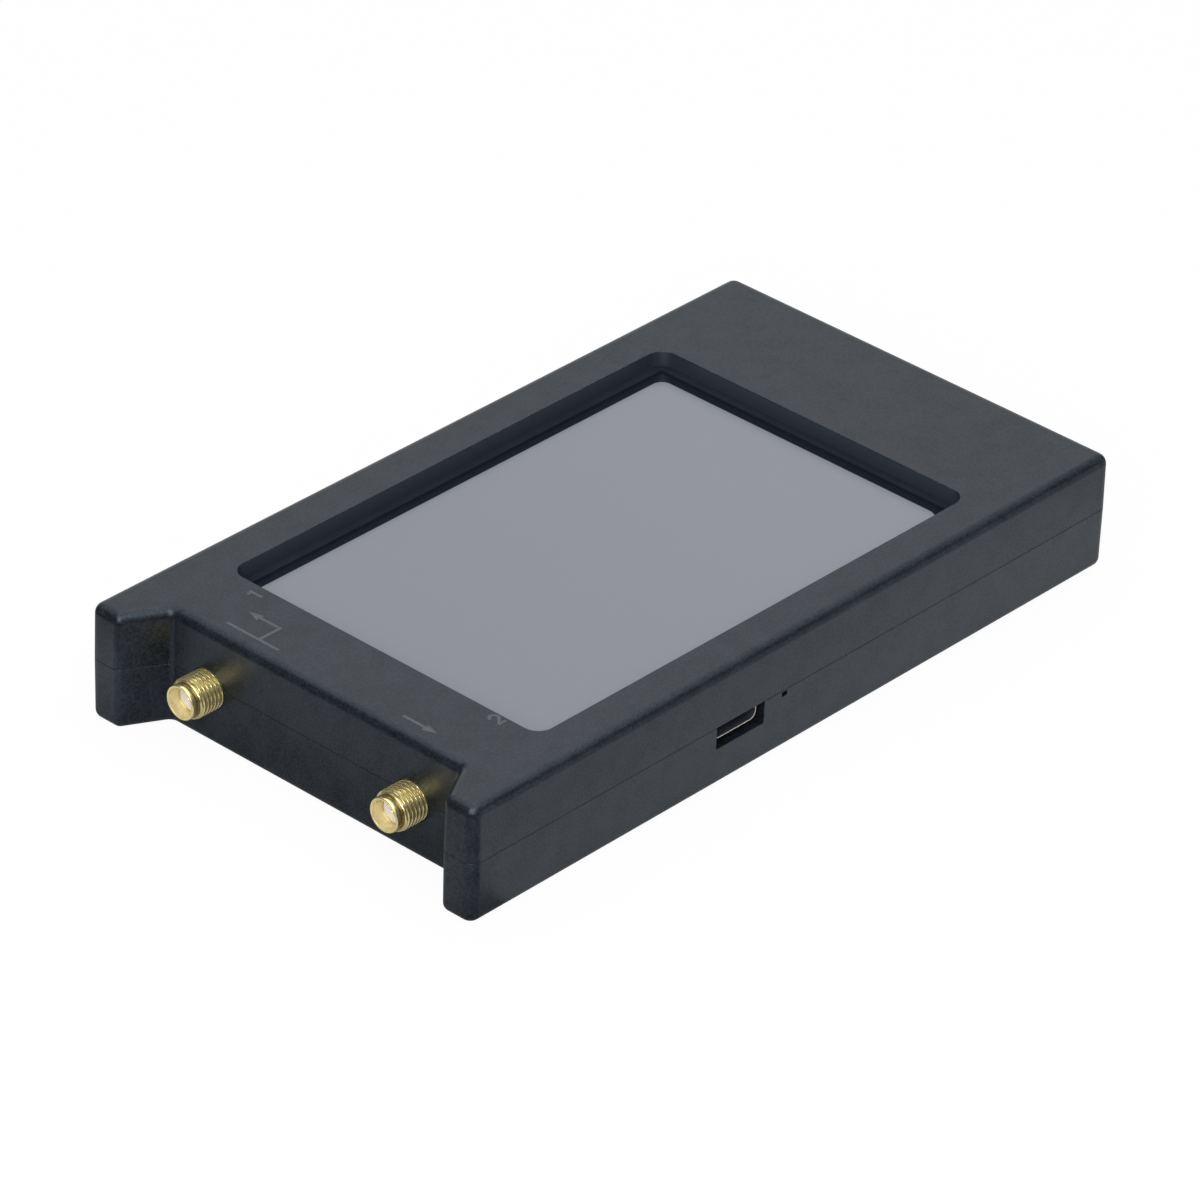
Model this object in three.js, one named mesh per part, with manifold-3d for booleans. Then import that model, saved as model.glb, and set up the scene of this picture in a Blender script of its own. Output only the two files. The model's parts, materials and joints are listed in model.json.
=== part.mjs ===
// Handheld two-port vector network analyzer, in millimetres, +Z up.
// The long axis lies along X with the coaxial ports at -X, and the screen faces +Z.
// The origin is the middle of the housing's underside.
import * as THREE from "three";
import { mergeVertices } from "three/addons/utils/BufferGeometryUtils.js";
import Module from "manifold-3d";

const wasm = await Module();
wasm.setup();

// Housing
const bodyLength = 136.4;
const bodyWidth = 75;
const sideWall = 2;
const floorWall = 2;
const topWall = 2.6;
const cornerRadius = 1.8;
const topFillet = 1.7;
const bottomFillet = 1.5;
const seamBevel = 0.2;
const draftShare = 0.0087;
const lipHeight = 1.2;
const insideCornerRadius = 0.4;

// Recess that guards the ports, between two horns
const recessDepth = 7;
const hornRootWidth = 9.5;
const hornTipWidth = 5.6;
const hornCornerRadius = 1.4;
const recessCornerRadius = 1;

// Screen window
const windowMarginEnd = 24.7;
const windowMarginPort = 13.2;
const windowMarginNear = 6.9;
const windowMarginFar = 7.7;
const windowRadius = 2;
const windowBevel = 0.2;

// Screen stack, from the window down to the board
const gasketThickness = 0.4;
const gasketReach = 1.4;
const gasketSeat = 1.4;
const touchThickness = 1.4;
const panelThickness = 1.2;
const trayFloor = 1.7;
const trayWall = 0.7;
const tapeThickness = 0.3;
const tapeWidth = 6;
const screenTail = 4.9;
const screenOverlap = 1.6;
const screenRadius = 1.2;
const panelBorder = 1;
const screenRib = 1;
const screenRibDepth = 3.6;

// Circuit board
const boardThickness = 1.6;
const boardRadius = 1.5;
const seamRise = 0.2;

// Coaxial ports
const portInset = 17.5;
const portShift = 0.8;
const portAxisHeight = 9.05;
const portReach = 5.45;
const threadRadius = 3.175;
const rimStep = 0.475;
const rimLength = 1.3;
const rimBevel = 0.15;
const rimWall = 0.4;
const mouthDepth = 2;
const mouthStep = 0.2;
const socketRadius = 0.635;
const socketBore = 0.46;
const socketDepth = 2.4;
const socketSlot = 0.18;
const pinRadius = 0.45;
const pinReach = 2.6;
const flangeWidth = 8;
const flangeThickness = 1.6;
const legWidth = 1.1;
const legThickness = 1;
const legReach = 4.4;

// Case screws and their bosses
const bossInset = 5.4;
const bossSetback = 6.4;
const lowerBossRadius = 3.3;
const upperBossRadius = 2.8;
const screwRadius = 1;
const screwBite = 3.6;
const screwHeadRadius = 1.9;
const screwHeadHeight = 1.5;
const driveRadius = 0.8;
const driveDepth = 0.8;
const counterboreDepth = 4.6;
const gussetThickness = 1;
const gussetReach = 2.4;

// Charging socket
const usbShift = -13.3;
const usbWidth = 8.94;
const usbHeight = 3.16;
const usbLength = 7.35;
const usbWall = 0.3;
const usbSetback = 0.75;
const usbTongueWidth = 6.7;
const usbTongueThickness = 0.7;
const usbTongueSetback = 0.9;
const usbBackLength = 2.2;
const usbTabWidth = 1.2;
const usbTabReach = 1.1;
const usbOpeningGap = 0.58;
const usbOpeningRadius = 1;

// Status light
const lightShift = -4;
const lightWidth = 0.9;
const lightDepth = 1.7;
const lightHeight = 0.65;
const lightHoleWidth = 1.15;
const lightHoleHeight = 0.75;
const lightHoleDrop = 0.25;

// Power slide switch on the far side
const powerShift = 9;
const powerWidth = 8.6;
const powerDepth = 3.8;
const powerHeight = 3.4;
const powerWall = 0.5;
const powerTravel = 2;
const knobWidth = 2.2;
const knobHeight = 1.5;
const knobReach = 1.3;
const knobFootWidth = 2.6;
const knobRidge = 0.25;
const knobRidgeCount = 4;

// Jog switch on the far side: its lever rocks and the whole lever presses in
const jogShift = -17;
const jogWidth = 10;
const jogHeight = 3.8;
const jogWall = 0.5;
const jogPress = 0.5;
const jogRock = 10;
const jogSlideWidth = 5.6;
const jogPinRadius = 0.7;
const jogHubRadius = 1.7;
const jogPivotSetback = 6.6;
const leverNeck = 2.4;
const leverThickness = 1.3;
const leverTabWidth = 6.4;
const leverReach = 3.2;
const leverFlare = 0.8;
const leverGroove = 0.3;
const leverGrooveCount = 5;
const leverGroovePitch = 1.05;

// Memory card socket at the +X end
const cardShift = 0;
const cardWidth = 14.6;
const cardLength = 14.8;
const cardHeight = 1.9;
const cardWall = 0.25;
const cardSide = 1.5;
const cardMouthHeight = 1.1;
const cardRail = 0.5;
const cardSlotMargin = 0.5;
const cardSlotLip = 0.1;
const cardWindow = 3;

// Flexible ribbons and their connectors, beyond the screen's +X end
const ribbonThickness = 0.2;
const ribbonWidth = 22;
const ribbonShift = -4;
const touchRibbonWidth = 5;
const touchRibbonShift = 17;
const ribbonGrip = 1.4;
const connectorDepth = 4.2;
const connectorHeight = 1.2;
const connectorEar = 1.6;
const connectorSetback = 3.4;
const connectorLatch = 1.2;

// Battery
const batteryThickness = 4.8;
const batteryMarginSide = 17.5;
const batteryMarginPort = 52;
const batteryMarginEnd = 19.2;
const batteryRadius = 2;
const batteryCrown = 1.2;
const batteryPad = 0.4;
const batteryRib = 1;
const batteryRibHeight = 1.8;
const leadRadius = 0.6;
const leadPitch = 2;
const leadRun = 4.6;
const plugWidth = 5.9;
const plugDepth = 3.6;
const plugHeight = 1.9;
const plugLatch = 0.3;
const headerWall = 0.7;
const plugShift = 24;

// Shield cans over the receiver stages
const canLength = 18;
const canGap = 3;
const canHeight = 2.5;
const canWall = 0.3;
const canRadius = 1;
const canHole = 0.75;
const canHolePitch = 4;
const canHoleColumns = 3;
const canHoleRows = 3;

// Chips under the board
const chipGap = 0.2;
const processorWidth = 7;
const processorLegs = 12;
const processorPitch = 0.5;
const processorHeight = 1.4;
const processorLegReach = 1;
const legFootThickness = 0.15;
const legFootWidth = 0.5;
const legMetalWidth = 0.25;
const smallChipLength = 4.9;
const smallChipWidth = 3.9;
const smallChipHeight = 1.4;
const smallChipLegs = 4;
const smallChipPitch = 1.1;
const smallChipLegReach = 1;
const codecWidth = 5;
const codecHeight = 0.9;
const crystalLength = 5;
const crystalWidth = 3.2;
const crystalHeight = 1.1;
const inductorRadius = 2.5;
const inductorNeck = 1.7;
const inductorHeight = 3;
const inductorFlange = 0.7;
const chipColumn = 39.5;
const chipRow = 13;
const supplyGap = 13.6;
const supplyRow = 10;
const inductorSpacing = 10;

// Fits, cuts and facets
const fitGap = 0.3;
const pressGap = 0.05;
const overrun = 1;
const mergeDistance = 0.0001;
const cornerSteps = 4;
const filletSteps = 3;
const roundSides = 24;
const smallSides = 12;
const leadSides = 8;
const leadSteps = 10;

// Places that follow from the sizes above
const boardBottom = portAxisHeight + pinRadius + fitGap;
const boardTop = boardBottom + boardThickness;
const seamHeight = boardBottom + seamRise;
const trayBottom = boardTop + tapeThickness;
const panelBottom = trayBottom + trayFloor;
const touchBottom = panelBottom + panelThickness;
const touchTop = touchBottom + touchThickness;
const ceiling = touchTop + gasketThickness;
const bodyHeight = ceiling + topWall;
const endX = bodyLength / 2;
const farY = bodyWidth / 2;
const recessX = recessDepth - endX;
const recessWallX = recessX + sideWall;
const flangeX = recessWallX + fitGap;
const boardEdgeX = flangeX + flangeThickness;
const portSpacing = bodyWidth - 2 * portInset;
const portYs = [portShift + portSpacing / 2, portShift - portSpacing / 2];
const rimRadius = threadRadius - rimStep;
const mouthRadius = rimRadius - rimWall;
const insulatorRadius = mouthRadius - mouthStep;
const windowX = [recessX + windowMarginPort, endX - windowMarginEnd];
const windowY = [windowMarginNear - farY, farY - windowMarginFar];
const screenX = [windowX[0] - screenOverlap, windowX[1] + screenTail];
const screenY = [windowY[0] - screenOverlap, windowY[1] + screenOverlap];
const bossPlaces = [-1, 1].flatMap((side) => [
  [recessX + bossSetback, side * (farY - bossInset)],
  [endX - bossInset, side * (farY - bossInset)],
]);

// Shape helpers

const span = (middle, size) => [middle - size / 2, middle + size / 2];
const grown = ([low, high], by) => [low - by, high + by];
const ordered = (a, b) => [Math.min(a, b), Math.max(a, b)];

// A closed geometry as a solid that can be joined and cut.
function solidOf(geometry) {
  const loose = geometry.index ? geometry.toNonIndexed() : geometry;
  const bare = new THREE.BufferGeometry();
  bare.setAttribute("position", loose.getAttribute("position"));
  const merged = mergeVertices(bare, mergeDistance);
  const vertProperties = merged.attributes.position.array;
  const triVerts = new Uint32Array(merged.index.array);
  return new wasm.Manifold(new wasm.Mesh({ numProp: 3, vertProperties, triVerts }));
}

// A solid's surface as a geometry for a mesh.
function geometryOf(solid) {
  const { vertProperties, triVerts } = solid.getMesh();
  const geometry = new THREE.BufferGeometry();
  geometry.setAttribute("position", new THREE.BufferAttribute(Float32Array.from(vertProperties), 3));
  geometry.setIndex(new THREE.BufferAttribute(Uint32Array.from(triVerts), 1));
  return geometry;
}

const joined = (...solids) => solids.flat().reduce((whole, solid) => whole.add(solid));
const cut = (solid, ...tools) => tools.flat().reduce((rest, tool) => rest.subtract(tool), solid);

// The turn that lays a shape drawn in X and Y, and built up along Z, along another axis.
const axisTurns = {
  x: new THREE.Matrix4().makeBasis(
    new THREE.Vector3(0, 1, 0), new THREE.Vector3(0, 0, 1), new THREE.Vector3(1, 0, 0)),
  y: new THREE.Matrix4().makeBasis(
    new THREE.Vector3(0, 0, 1), new THREE.Vector3(1, 0, 0), new THREE.Vector3(0, 1, 0)),
  z: new THREE.Matrix4(),
};

// An outline with an arc at each corner. Corners are [x, y, radius], anticlockwise.
// With an inset, every side moves inwards by it and the arcs keep their centres.
function roundedOutline(corners, inset = 0) {
  return corners.flatMap(([x, y, radius], i) => {
    const [beforeX, beforeY] = corners.at(i - 1);
    const [afterX, afterY] = corners[(i + 1) % corners.length];
    const arriving = new THREE.Vector2(x - beforeX, y - beforeY).normalize();
    const leaving = new THREE.Vector2(afterX - x, afterY - y).normalize();
    const turn = Math.atan2(arriving.cross(leaving), arriving.dot(leaving));
    const side = Math.sign(turn);
    const inward = new THREE.Vector2(-arriving.y, arriving.x);
    const bisector = inward.clone().add(new THREE.Vector2(-leaving.y, leaving.x));
    const corner = new THREE.Vector2(x, y).addScaledVector(bisector, inset / (1 + arriving.dot(leaving)));
    const arc = Math.max(radius - side * inset, insideCornerRadius);
    const start = corner.addScaledVector(arriving, -arc * Math.tan(Math.abs(turn) / 2));
    const centre = start.clone().addScaledVector(inward, side * arc);
    return Array.from({ length: cornerSteps + 1 }, (_, k) =>
      start.clone().rotateAround(centre, (turn * k) / cornerSteps));
  });
}

const rectangleCorners = ([x0, x1], [y0, y1], radius) =>
  [[x0, y0, radius], [x1, y0, radius], [x1, y1, radius], [x0, y1, radius]];

// A solid through rings of equally many points, each ring { z, points }.
function loft(rings, axis = "z") {
  const count = rings[0].points.length;
  const positions = rings.flatMap(({ z, points }) => points.flatMap(({ x, y }) => [x, y, z]));
  const lid = THREE.ShapeUtils.triangulateShape(rings[0].points, []);
  const roof = THREE.ShapeUtils.triangulateShape(rings.at(-1).points, []);
  const lastRing = (rings.length - 1) * count;
  const index = lid.flatMap(([a, b, c]) => [a, c, b]);
  index.push(...roof.flat().map((corner) => corner + lastRing));
  for (let ring = 0; ring < lastRing; ring += count) {
    for (let k = 0; k < count; k++) {
      const here = ring + k;
      const next = ring + ((k + 1) % count);
      index.push(here, next, next + count, here, next + count, here + count);
    }
  }
  const geometry = new THREE.BufferGeometry();
  geometry.setAttribute("position", new THREE.Float32BufferAttribute(positions, 3));
  geometry.setIndex(index);
  return solidOf(geometry.applyMatrix4(axisTurns[axis]));
}

const prism = (points, [low, high], axis) => loft([{ z: low, points }, { z: high, points }], axis);

// A block with rounded upright edges.
const slab = (spanX, spanY, spanZ, radius) =>
  prism(roundedOutline(rectangleCorners(spanX, spanY, radius)), spanZ);

// A block with its edges along X rounded.
const bar = (spanX, spanY, spanZ, radius) =>
  prism(roundedOutline(rectangleCorners(spanY, spanZ, radius)), spanX, "x");

function block(spanX, spanY, spanZ) {
  const [x, y, z] = [spanX, spanY, spanZ].map(([low, high]) => (low + high) / 2);
  const [width, depth, height] = [spanX, spanY, spanZ].map(([low, high]) => high - low);
  return solidOf(new THREE.BoxGeometry(width, depth, height).translate(x, y, z));
}

function circle(radius, sides, [x, y] = [0, 0]) {
  return Array.from({ length: sides }, (_, k) => {
    const angle = (2 * Math.PI * k) / sides;
    return new THREE.Vector2(x + radius * Math.cos(angle), y + radius * Math.sin(angle));
  });
}

// A round bar along an axis, whose centre line crosses the plane of the other two axes at place.
const rod = (radius, reach, place, axis = "z", sides = roundSides) =>
  prism(circle(radius, sides, place), reach, axis);

// A turned solid about the X axis, from [radius, distance along -X] pairs that close on themselves.
function turned(profile, sides = roundSides) {
  const points = [...profile, profile[0]].map(([radius, along]) => new THREE.Vector2(radius, along));
  return solidOf(new THREE.LatheGeometry(points, sides).rotateZ(Math.PI / 2));
}

const colours = {
  housing: { color: 0x46494d, roughness: 0.62, metalness: 0 },
  gold: { color: 0xd8bd6a, roughness: 0.25, metalness: 1 },
  steel: { color: 0xc4c6c9, roughness: 0.32, metalness: 1 },
  blackSteel: { color: 0x2b2c2e, roughness: 0.45, metalness: 0.8 },
  insulator: { color: 0xe9e4dc, roughness: 0.5, metalness: 0 },
  blackPlastic: { color: 0x1b1c1e, roughness: 0.5, metalness: 0 },
  whitePlastic: { color: 0xe6e3da, roughness: 0.5, metalness: 0 },
  board: { color: 0x16191a, roughness: 0.4, metalness: 0 },
  chip: { color: 0x202124, roughness: 0.55, metalness: 0 },
  screen: { color: 0x8f949c, roughness: 0.35, metalness: 0 },
  touch: { color: 0x969ba3, roughness: 0.25, metalness: 0 },
  foam: { color: 0x25282d, roughness: 0.9, metalness: 0 },
  tape: { color: 0xd8d8d4, roughness: 0.8, metalness: 0 },
  ribbon: { color: 0xb5762c, roughness: 0.4, metalness: 0 },
  pouch: { color: 0xb9bcc0, roughness: 0.35, metalness: 0.8 },
  redWire: { color: 0xa81d1b, roughness: 0.45, metalness: 0 },
  blackWire: { color: 0x18181a, roughness: 0.45, metalness: 0 },
  light: { color: 0xf2efe2, roughness: 0.3, metalness: 0 },
};

function piece(name, solid, colour) {
  const mesh = new THREE.Mesh(geometryOf(solid), new THREE.MeshStandardMaterial(colour));
  mesh.name = name;
  return mesh;
}

function placed(mesh, x, y) {
  mesh.position.set(x, y, 0);
  return mesh;
}

function grouped(place, ...members) {
  const group = new THREE.Group();
  group.position.set(...place);
  group.add(...members);
  return group;
}

// Housing

// The plan of the housing at the seam, from the -X, -Y corner.
const bodyCorners = [
  [-endX, -farY, cornerRadius],
  [endX, -farY, cornerRadius],
  [endX, farY, cornerRadius],
  [-endX, farY, cornerRadius],
  [-endX, farY - hornTipWidth, hornCornerRadius],
  [recessX, farY - hornRootWidth, recessCornerRadius],
  [recessX, hornRootWidth - farY, recessCornerRadius],
  [-endX, hornTipWidth - farY, hornCornerRadius],
];

const bodyRing = (z, inset) => ({ z, points: roundedOutline(bodyCorners, inset) });

// One half of the housing's skin, from the seam to a flat face with a rounded edge.
function halfSkin(faceHeight, fillet) {
  const way = Math.sign(faceHeight - seamHeight);
  const wallEnd = Math.abs(faceHeight - seamHeight) - fillet;
  const lean = draftShare * wallEnd;
  const rings = [bodyRing(seamHeight, seamBevel), bodyRing(seamHeight + way * seamBevel, 0)];
  for (let k = 0; k <= filletSteps; k++) {
    const angle = (Math.PI / 2) * (k / filletSteps);
    const rise = wallEnd + fillet * Math.sin(angle);
    rings.push(bodyRing(seamHeight + way * rise, lean + fillet * (1 - Math.cos(angle))));
  }
  return loft(way > 0 ? rings : rings.reverse());
}

// The space inside the walls between two heights.
const hollow = ([low, high], inset) => loft([bodyRing(low, inset), bodyRing(high, inset)]);

const portHoles = () =>
  portYs.map((y) =>
    rod(threadRadius + fitGap, [recessX - overrun, recessWallX + overrun], [y, portAxisHeight], "x"));

const usbY = usbSetback - farY;
const usbBottom = boardBottom - usbHeight;
const usbOpening = () =>
  prism(
    roundedOutline(
      rectangleCorners(
        [usbBottom - fitGap, seamHeight + lipHeight + overrun],
        span(usbShift, usbWidth + 2 * usbOpeningGap),
        usbOpeningRadius,
      ),
    ),
    [-farY - overrun, sideWall - farY + overrun],
    "y",
  );

const lightHole = () =>
  block(
    span(lightShift, lightHoleWidth),
    [-farY - overrun, sideWall - farY + overrun],
    span(seamHeight - lightHoleDrop - lightHoleHeight / 2, lightHoleHeight),
  );

const powerAxisHeight = boardBottom - powerHeight / 2;
const powerSlot = () =>
  block(
    span(powerShift, knobWidth + powerTravel + 2 * fitGap),
    [farY - sideWall - overrun, farY + overrun],
    [powerAxisHeight - knobHeight / 2 - fitGap, seamHeight + lipHeight + overrun],
  );

const jogAxisHeight = boardBottom - jogHeight / 2;
const jogSwing = Math.sin(THREE.MathUtils.degToRad(jogRock));
const leverNeckEnd = jogPivotSetback + jogPress + fitGap;
const jogSlot = () =>
  block(
    span(jogShift, leverNeck + 2 * (leverNeckEnd * jogSwing + fitGap)),
    [farY - sideWall - overrun, farY + overrun],
    [jogAxisHeight - leverThickness / 2 - fitGap, seamHeight + lipHeight + overrun],
  );

const cardMouthWidth = cardWidth - 2 * cardSide;
const cardSlotHeight = cardMouthHeight + 2 * cardSlotLip;
const cardMiddle = boardBottom - cardHeight / 2;
const cardSlot = () =>
  bar([endX - sideWall - overrun, endX + overrun],
    span(cardShift, cardMouthWidth + 2 * cardSlotMargin),
    span(cardMiddle, cardSlotHeight), cardSlotHeight / 3);

// Ribs that tie a boss to the two walls beside it.
function gussets([x, y], spanZ) {
  const sideY = Math.sign(y);
  const sideX = Math.sign(x);
  const wallX = sideX > 0 ? endX - sideWall / 2 : recessX + sideWall / 2;
  return [
    block(span(x, gussetThickness), ordered(y, sideY * (farY - sideWall / 2)), spanZ),
    block(ordered(x, wallX), span(y, gussetThickness), spanZ),
  ];
}

// A low wall round a pocket, for a piece that sits inside it.
function pocketWall(spanX, spanY, spanZ, thickness, radius) {
  const outside = slab(grown(spanX, thickness), grown(spanY, thickness), spanZ, radius + thickness);
  return cut(outside, slab(spanX, spanY, grown(spanZ, overrun), radius));
}

const batteryX = [recessX + batteryMarginPort, endX - batteryMarginEnd];
const batteryY = [batteryMarginSide - farY, farY - batteryMarginSide];

function lowerShell() {
  const skin = halfSkin(0, bottomFillet);
  const lipRing = cut(
    hollow([seamHeight - overrun, seamHeight + lipHeight], sideWall / 2 + fitGap / 2),
    hollow([seamHeight - 2 * overrun, seamHeight + lipHeight + overrun], sideWall),
  );
  const room = hollow([floorWall, seamHeight + overrun], sideWall);
  const bosses = bossPlaces.map((place) => rod(lowerBossRadius, [floorWall / 2, boardBottom], place));
  const bossRibs = bossPlaces.flatMap((place) => gussets(place, [floorWall / 2, boardBottom - gussetReach]));
  const batteryWall = pocketWall(
    grown(batteryX, fitGap),
    grown(batteryY, fitGap),
    [floorWall / 2, floorWall + batteryRibHeight],
    batteryRib,
    batteryRadius,
  );
  const shafts = bossPlaces.flatMap((place) => [
    rod(screwRadius + fitGap / 2, [-overrun, boardBottom + overrun], place, "z", smallSides),
    rod(screwHeadRadius + fitGap, [-overrun, counterboreDepth], place, "z", smallSides),
  ]);
  const ribs = joined(bosses, bossRibs, batteryWall);
  const insideRibs = ribs.intersect(hollow([floorWall / 2, seamHeight + overrun], sideWall / 2));
  const shell = joined(cut(skin, room), lipRing, insideRibs);
  return cut(
    shell, shafts, portHoles(), usbOpening(), lightHole(), powerSlot(), jogSlot(), cardSlot());
}

function upperShell() {
  const skin = halfSkin(bodyHeight, topFillet);
  const room = hollow([seamHeight - overrun, ceiling], sideWall);
  const rebate = hollow([seamHeight - overrun, seamHeight + lipHeight + fitGap], sideWall / 2 - fitGap / 2);
  const corners = rectangleCorners(windowX, windowY, windowRadius);
  const window = loft([
    { z: ceiling - overrun, points: roundedOutline(corners) },
    { z: bodyHeight - windowBevel, points: roundedOutline(corners) },
    { z: bodyHeight, points: roundedOutline(corners, -windowBevel) },
    { z: bodyHeight + overrun, points: roundedOutline(corners, -windowBevel) },
  ]);
  const bosses = bossPlaces.map((place) => rod(upperBossRadius, [boardTop, ceiling + topWall / 2], place));
  const ribSpan = [boardTop + gussetReach, ceiling + topWall / 2];
  const bossRibs = bossPlaces.flatMap((place) => gussets(place, ribSpan));
  const screenWall = pocketWall(
    grown(screenX, fitGap),
    grown(screenY, fitGap),
    [ceiling - screenRibDepth, ceiling + topWall / 2],
    screenRib,
    screenRadius,
  );
  const ribbonGap = block(
    [screenX[1], screenX[1] + screenRib + 2 * fitGap],
    [ribbonShift - ribbonWidth / 2 - overrun, touchRibbonShift + touchRibbonWidth / 2 + overrun],
    [ceiling - screenRibDepth - overrun, touchTop],
  );
  const pilotSpan = [boardTop - overrun, boardTop + screwBite + fitGap];
  const pilots = bossPlaces.map((place) =>
    rod(screwRadius + pressGap, pilotSpan, place, "z", smallSides));
  const inside = joined(bosses, bossRibs, cut(screenWall, ribbonGap))
    .intersect(hollow([seamHeight, ceiling + topWall / 2], sideWall / 2 + fitGap));
  return cut(joined(cut(skin, room, rebate), inside), window, pilots, portHoles());
}

// A pan-head screw, driven up from below, with a cross recess in its head.
function caseScrew() {
  const headTop = counterboreDepth;
  const headBottom = headTop - screwHeadHeight;
  const shank = rod(screwRadius, [headTop - overrun, boardTop + screwBite], [0, 0], "z", smallSides);
  const rounding = screwHeadHeight / 2;
  const head = loft([
    { z: headBottom, points: circle(screwHeadRadius - rounding / 2, smallSides) },
    { z: headBottom + rounding / 2, points: circle(screwHeadRadius, smallSides) },
    { z: headTop, points: circle(screwHeadRadius, smallSides) },
  ]);
  const arm = [-driveRadius, driveRadius];
  const blade = span(0, driveRadius / 2);
  const depth = [headBottom - overrun, headBottom + driveDepth];
  return cut(joined(shank, head), block(arm, blade, depth), block(blade, arm, depth));
}

function housing() {
  const screws = bossPlaces.map(([x, y], i) =>
    placed(piece("case_screw_" + (i + 1), caseScrew(), colours.steel), x, y));
  return grouped(
    [0, 0, 0],
    piece("lower_shell", lowerShell(), colours.housing),
    piece("upper_shell", upperShell(), colours.housing),
    ...screws,
  );
}

// Circuit board

const boardX = [boardEdgeX, endX - sideWall - fitGap - draftShare * seamHeight];
const boardY = span(0, bodyWidth - 2 * (sideWall + fitGap + draftShare * seamHeight));

function mainBoard() {
  const sheet = slab(boardX, boardY, [boardBottom, boardTop], boardRadius);
  const holes = bossPlaces.map((place) =>
    rod(screwRadius + fitGap, [boardBottom - overrun, boardTop + overrun], place, "z", smallSides));
  return cut(sheet, holes);
}

// Coaxial ports, each drawn about its axis with the recess floor at x = 0 and -X outwards

const flangeBack = -(boardEdgeX - recessX);
const flangeFace = -(flangeX - recessX);
const mouthFloor = portReach - mouthDepth;

function jackBody() {
  const barrel = turned([
    [insulatorRadius, flangeBack],
    [threadRadius, flangeBack],
    [threadRadius, portReach - rimLength - rimBevel],
    [threadRadius - rimBevel, portReach - rimLength],
    [rimRadius, portReach - rimLength],
    [rimRadius, portReach - rimBevel],
    [rimRadius - rimBevel, portReach],
    [mouthRadius + rimBevel / 2, portReach],
    [mouthRadius, portReach - rimBevel],
    [mouthRadius, mouthFloor],
    [insulatorRadius, mouthFloor],
  ]);
  const bore = rod(insulatorRadius, [-portReach, -flangeBack + overrun], [0, 0], "x");
  const plate = block([-flangeFace, -flangeBack], span(0, flangeWidth), span(0, flangeWidth));
  const legs = [-1, 1].flatMap((side) => {
    const across = ordered(side * (flangeWidth / 2 - legWidth), (side * flangeWidth) / 2);
    const along = [-flangeBack - flangeThickness / 2, -flangeBack + legReach];
    const top = boardTop - portAxisHeight;
    const bottom = boardBottom - portAxisHeight;
    return [
      block(along, across, [top, top + legThickness]),
      block(along, across, [bottom - legThickness, bottom]),
    ];
  });
  const boardSlot = block(
    [-flangeBack, -flangeBack + legReach + overrun],
    span(0, flangeWidth + overrun),
    [boardBottom - portAxisHeight, boardTop - portAxisHeight],
  );
  return cut(joined(barrel, cut(plate, bore), legs), boardSlot);
}

function insulator() {
  const sleeve = rod(insulatorRadius - pressGap, [-mouthFloor, -flangeBack - pressGap], [0, 0], "x");
  const bore = [-portReach, -flangeBack + overrun];
  return cut(sleeve, rod(socketRadius + pressGap, bore, [0, 0], "x", smallSides));
}

function contact() {
  const socket = rod(socketRadius, [-mouthFloor, -flangeBack - pressGap], [0, 0], "x", smallSides);
  const pin = rod(pinRadius, [-flangeBack - overrun, -flangeBack + pinReach], [0, 0], "x", smallSides);
  const bore = rod(socketBore, [-portReach, socketDepth - mouthFloor], [0, 0], "x", smallSides);
  const reach = [-portReach, socketDepth - mouthFloor];
  const slot = span(0, socketSlot);
  const wide = span(0, 3 * socketRadius);
  return cut(joined(socket, pin), bore, block(reach, slot, wide), block(reach, wide, slot));
}

function port(number, y) {
  return grouped(
    [recessX, y, portAxisHeight],
    piece(`port_${number}_jack_body`, jackBody(), colours.gold),
    piece(`port_${number}_insulator`, insulator(), colours.insulator),
    piece(`port_${number}_contact`, contact(), colours.gold),
  );
}

// Charging socket, drawn with its mouth at y = 0 and its top at z = 0

function usbShell() {
  const tube = (inset) =>
    roundedOutline(
      rectangleCorners([-usbHeight, 0], span(0, usbWidth), usbHeight / 2 - insideCornerRadius / 2), inset);
  const skin = prism(tube(0), [0, usbLength], "y");
  const room = prism(tube(usbWall), [-overrun, usbLength + overrun], "y");
  const frontTab = sideWall - usbSetback + fitGap + usbTabWidth / 2;
  const tabs = [-1, 1].flatMap((side) =>
    [frontTab, usbLength - usbTabWidth / 2].map((y) =>
      block(
        ordered(side * (usbWidth - usbHeight) / 2, side * (usbWidth / 2 + usbTabReach)),
        span(y, usbTabWidth),
        [-usbWall, 0],
      )));
  return joined(cut(skin, room), tabs);
}

function usbTongue() {
  const tube = roundedOutline(
    rectangleCorners([-usbHeight, 0], span(0, usbWidth), usbHeight / 2 - insideCornerRadius / 2),
    usbWall + pressGap,
  );
  const back = prism(tube, [usbLength - usbBackLength, usbLength], "y");
  const middle = -usbHeight / 2;
  const blade = slab(
    span(0, usbTongueWidth), [usbTongueSetback, usbLength - usbBackLength / 2],
    span(middle, usbTongueThickness), usbTongueThickness);
  return joined(back, blade);
}

function chargingSocket() {
  return grouped(
    [usbShift, usbY, boardBottom],
    piece("usb_shell", usbShell(), colours.steel),
    piece("usb_tongue", usbTongue(), colours.blackPlastic),
  );
}

function statusLight() {
  const y = [sideWall + fitGap - farY, sideWall + fitGap - farY + lightDepth];
  return piece(
    "status_light",
    block(span(lightShift, lightWidth), y, [boardBottom - lightHeight, boardBottom]),
    colours.light,
  );
}

// Power switch, drawn about the middle of its case, with +Y outwards

const powerFaceY = farY - sideWall - fitGap - draftShare * seamHeight;
const powerMiddleY = powerFaceY - powerDepth / 2;

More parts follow.
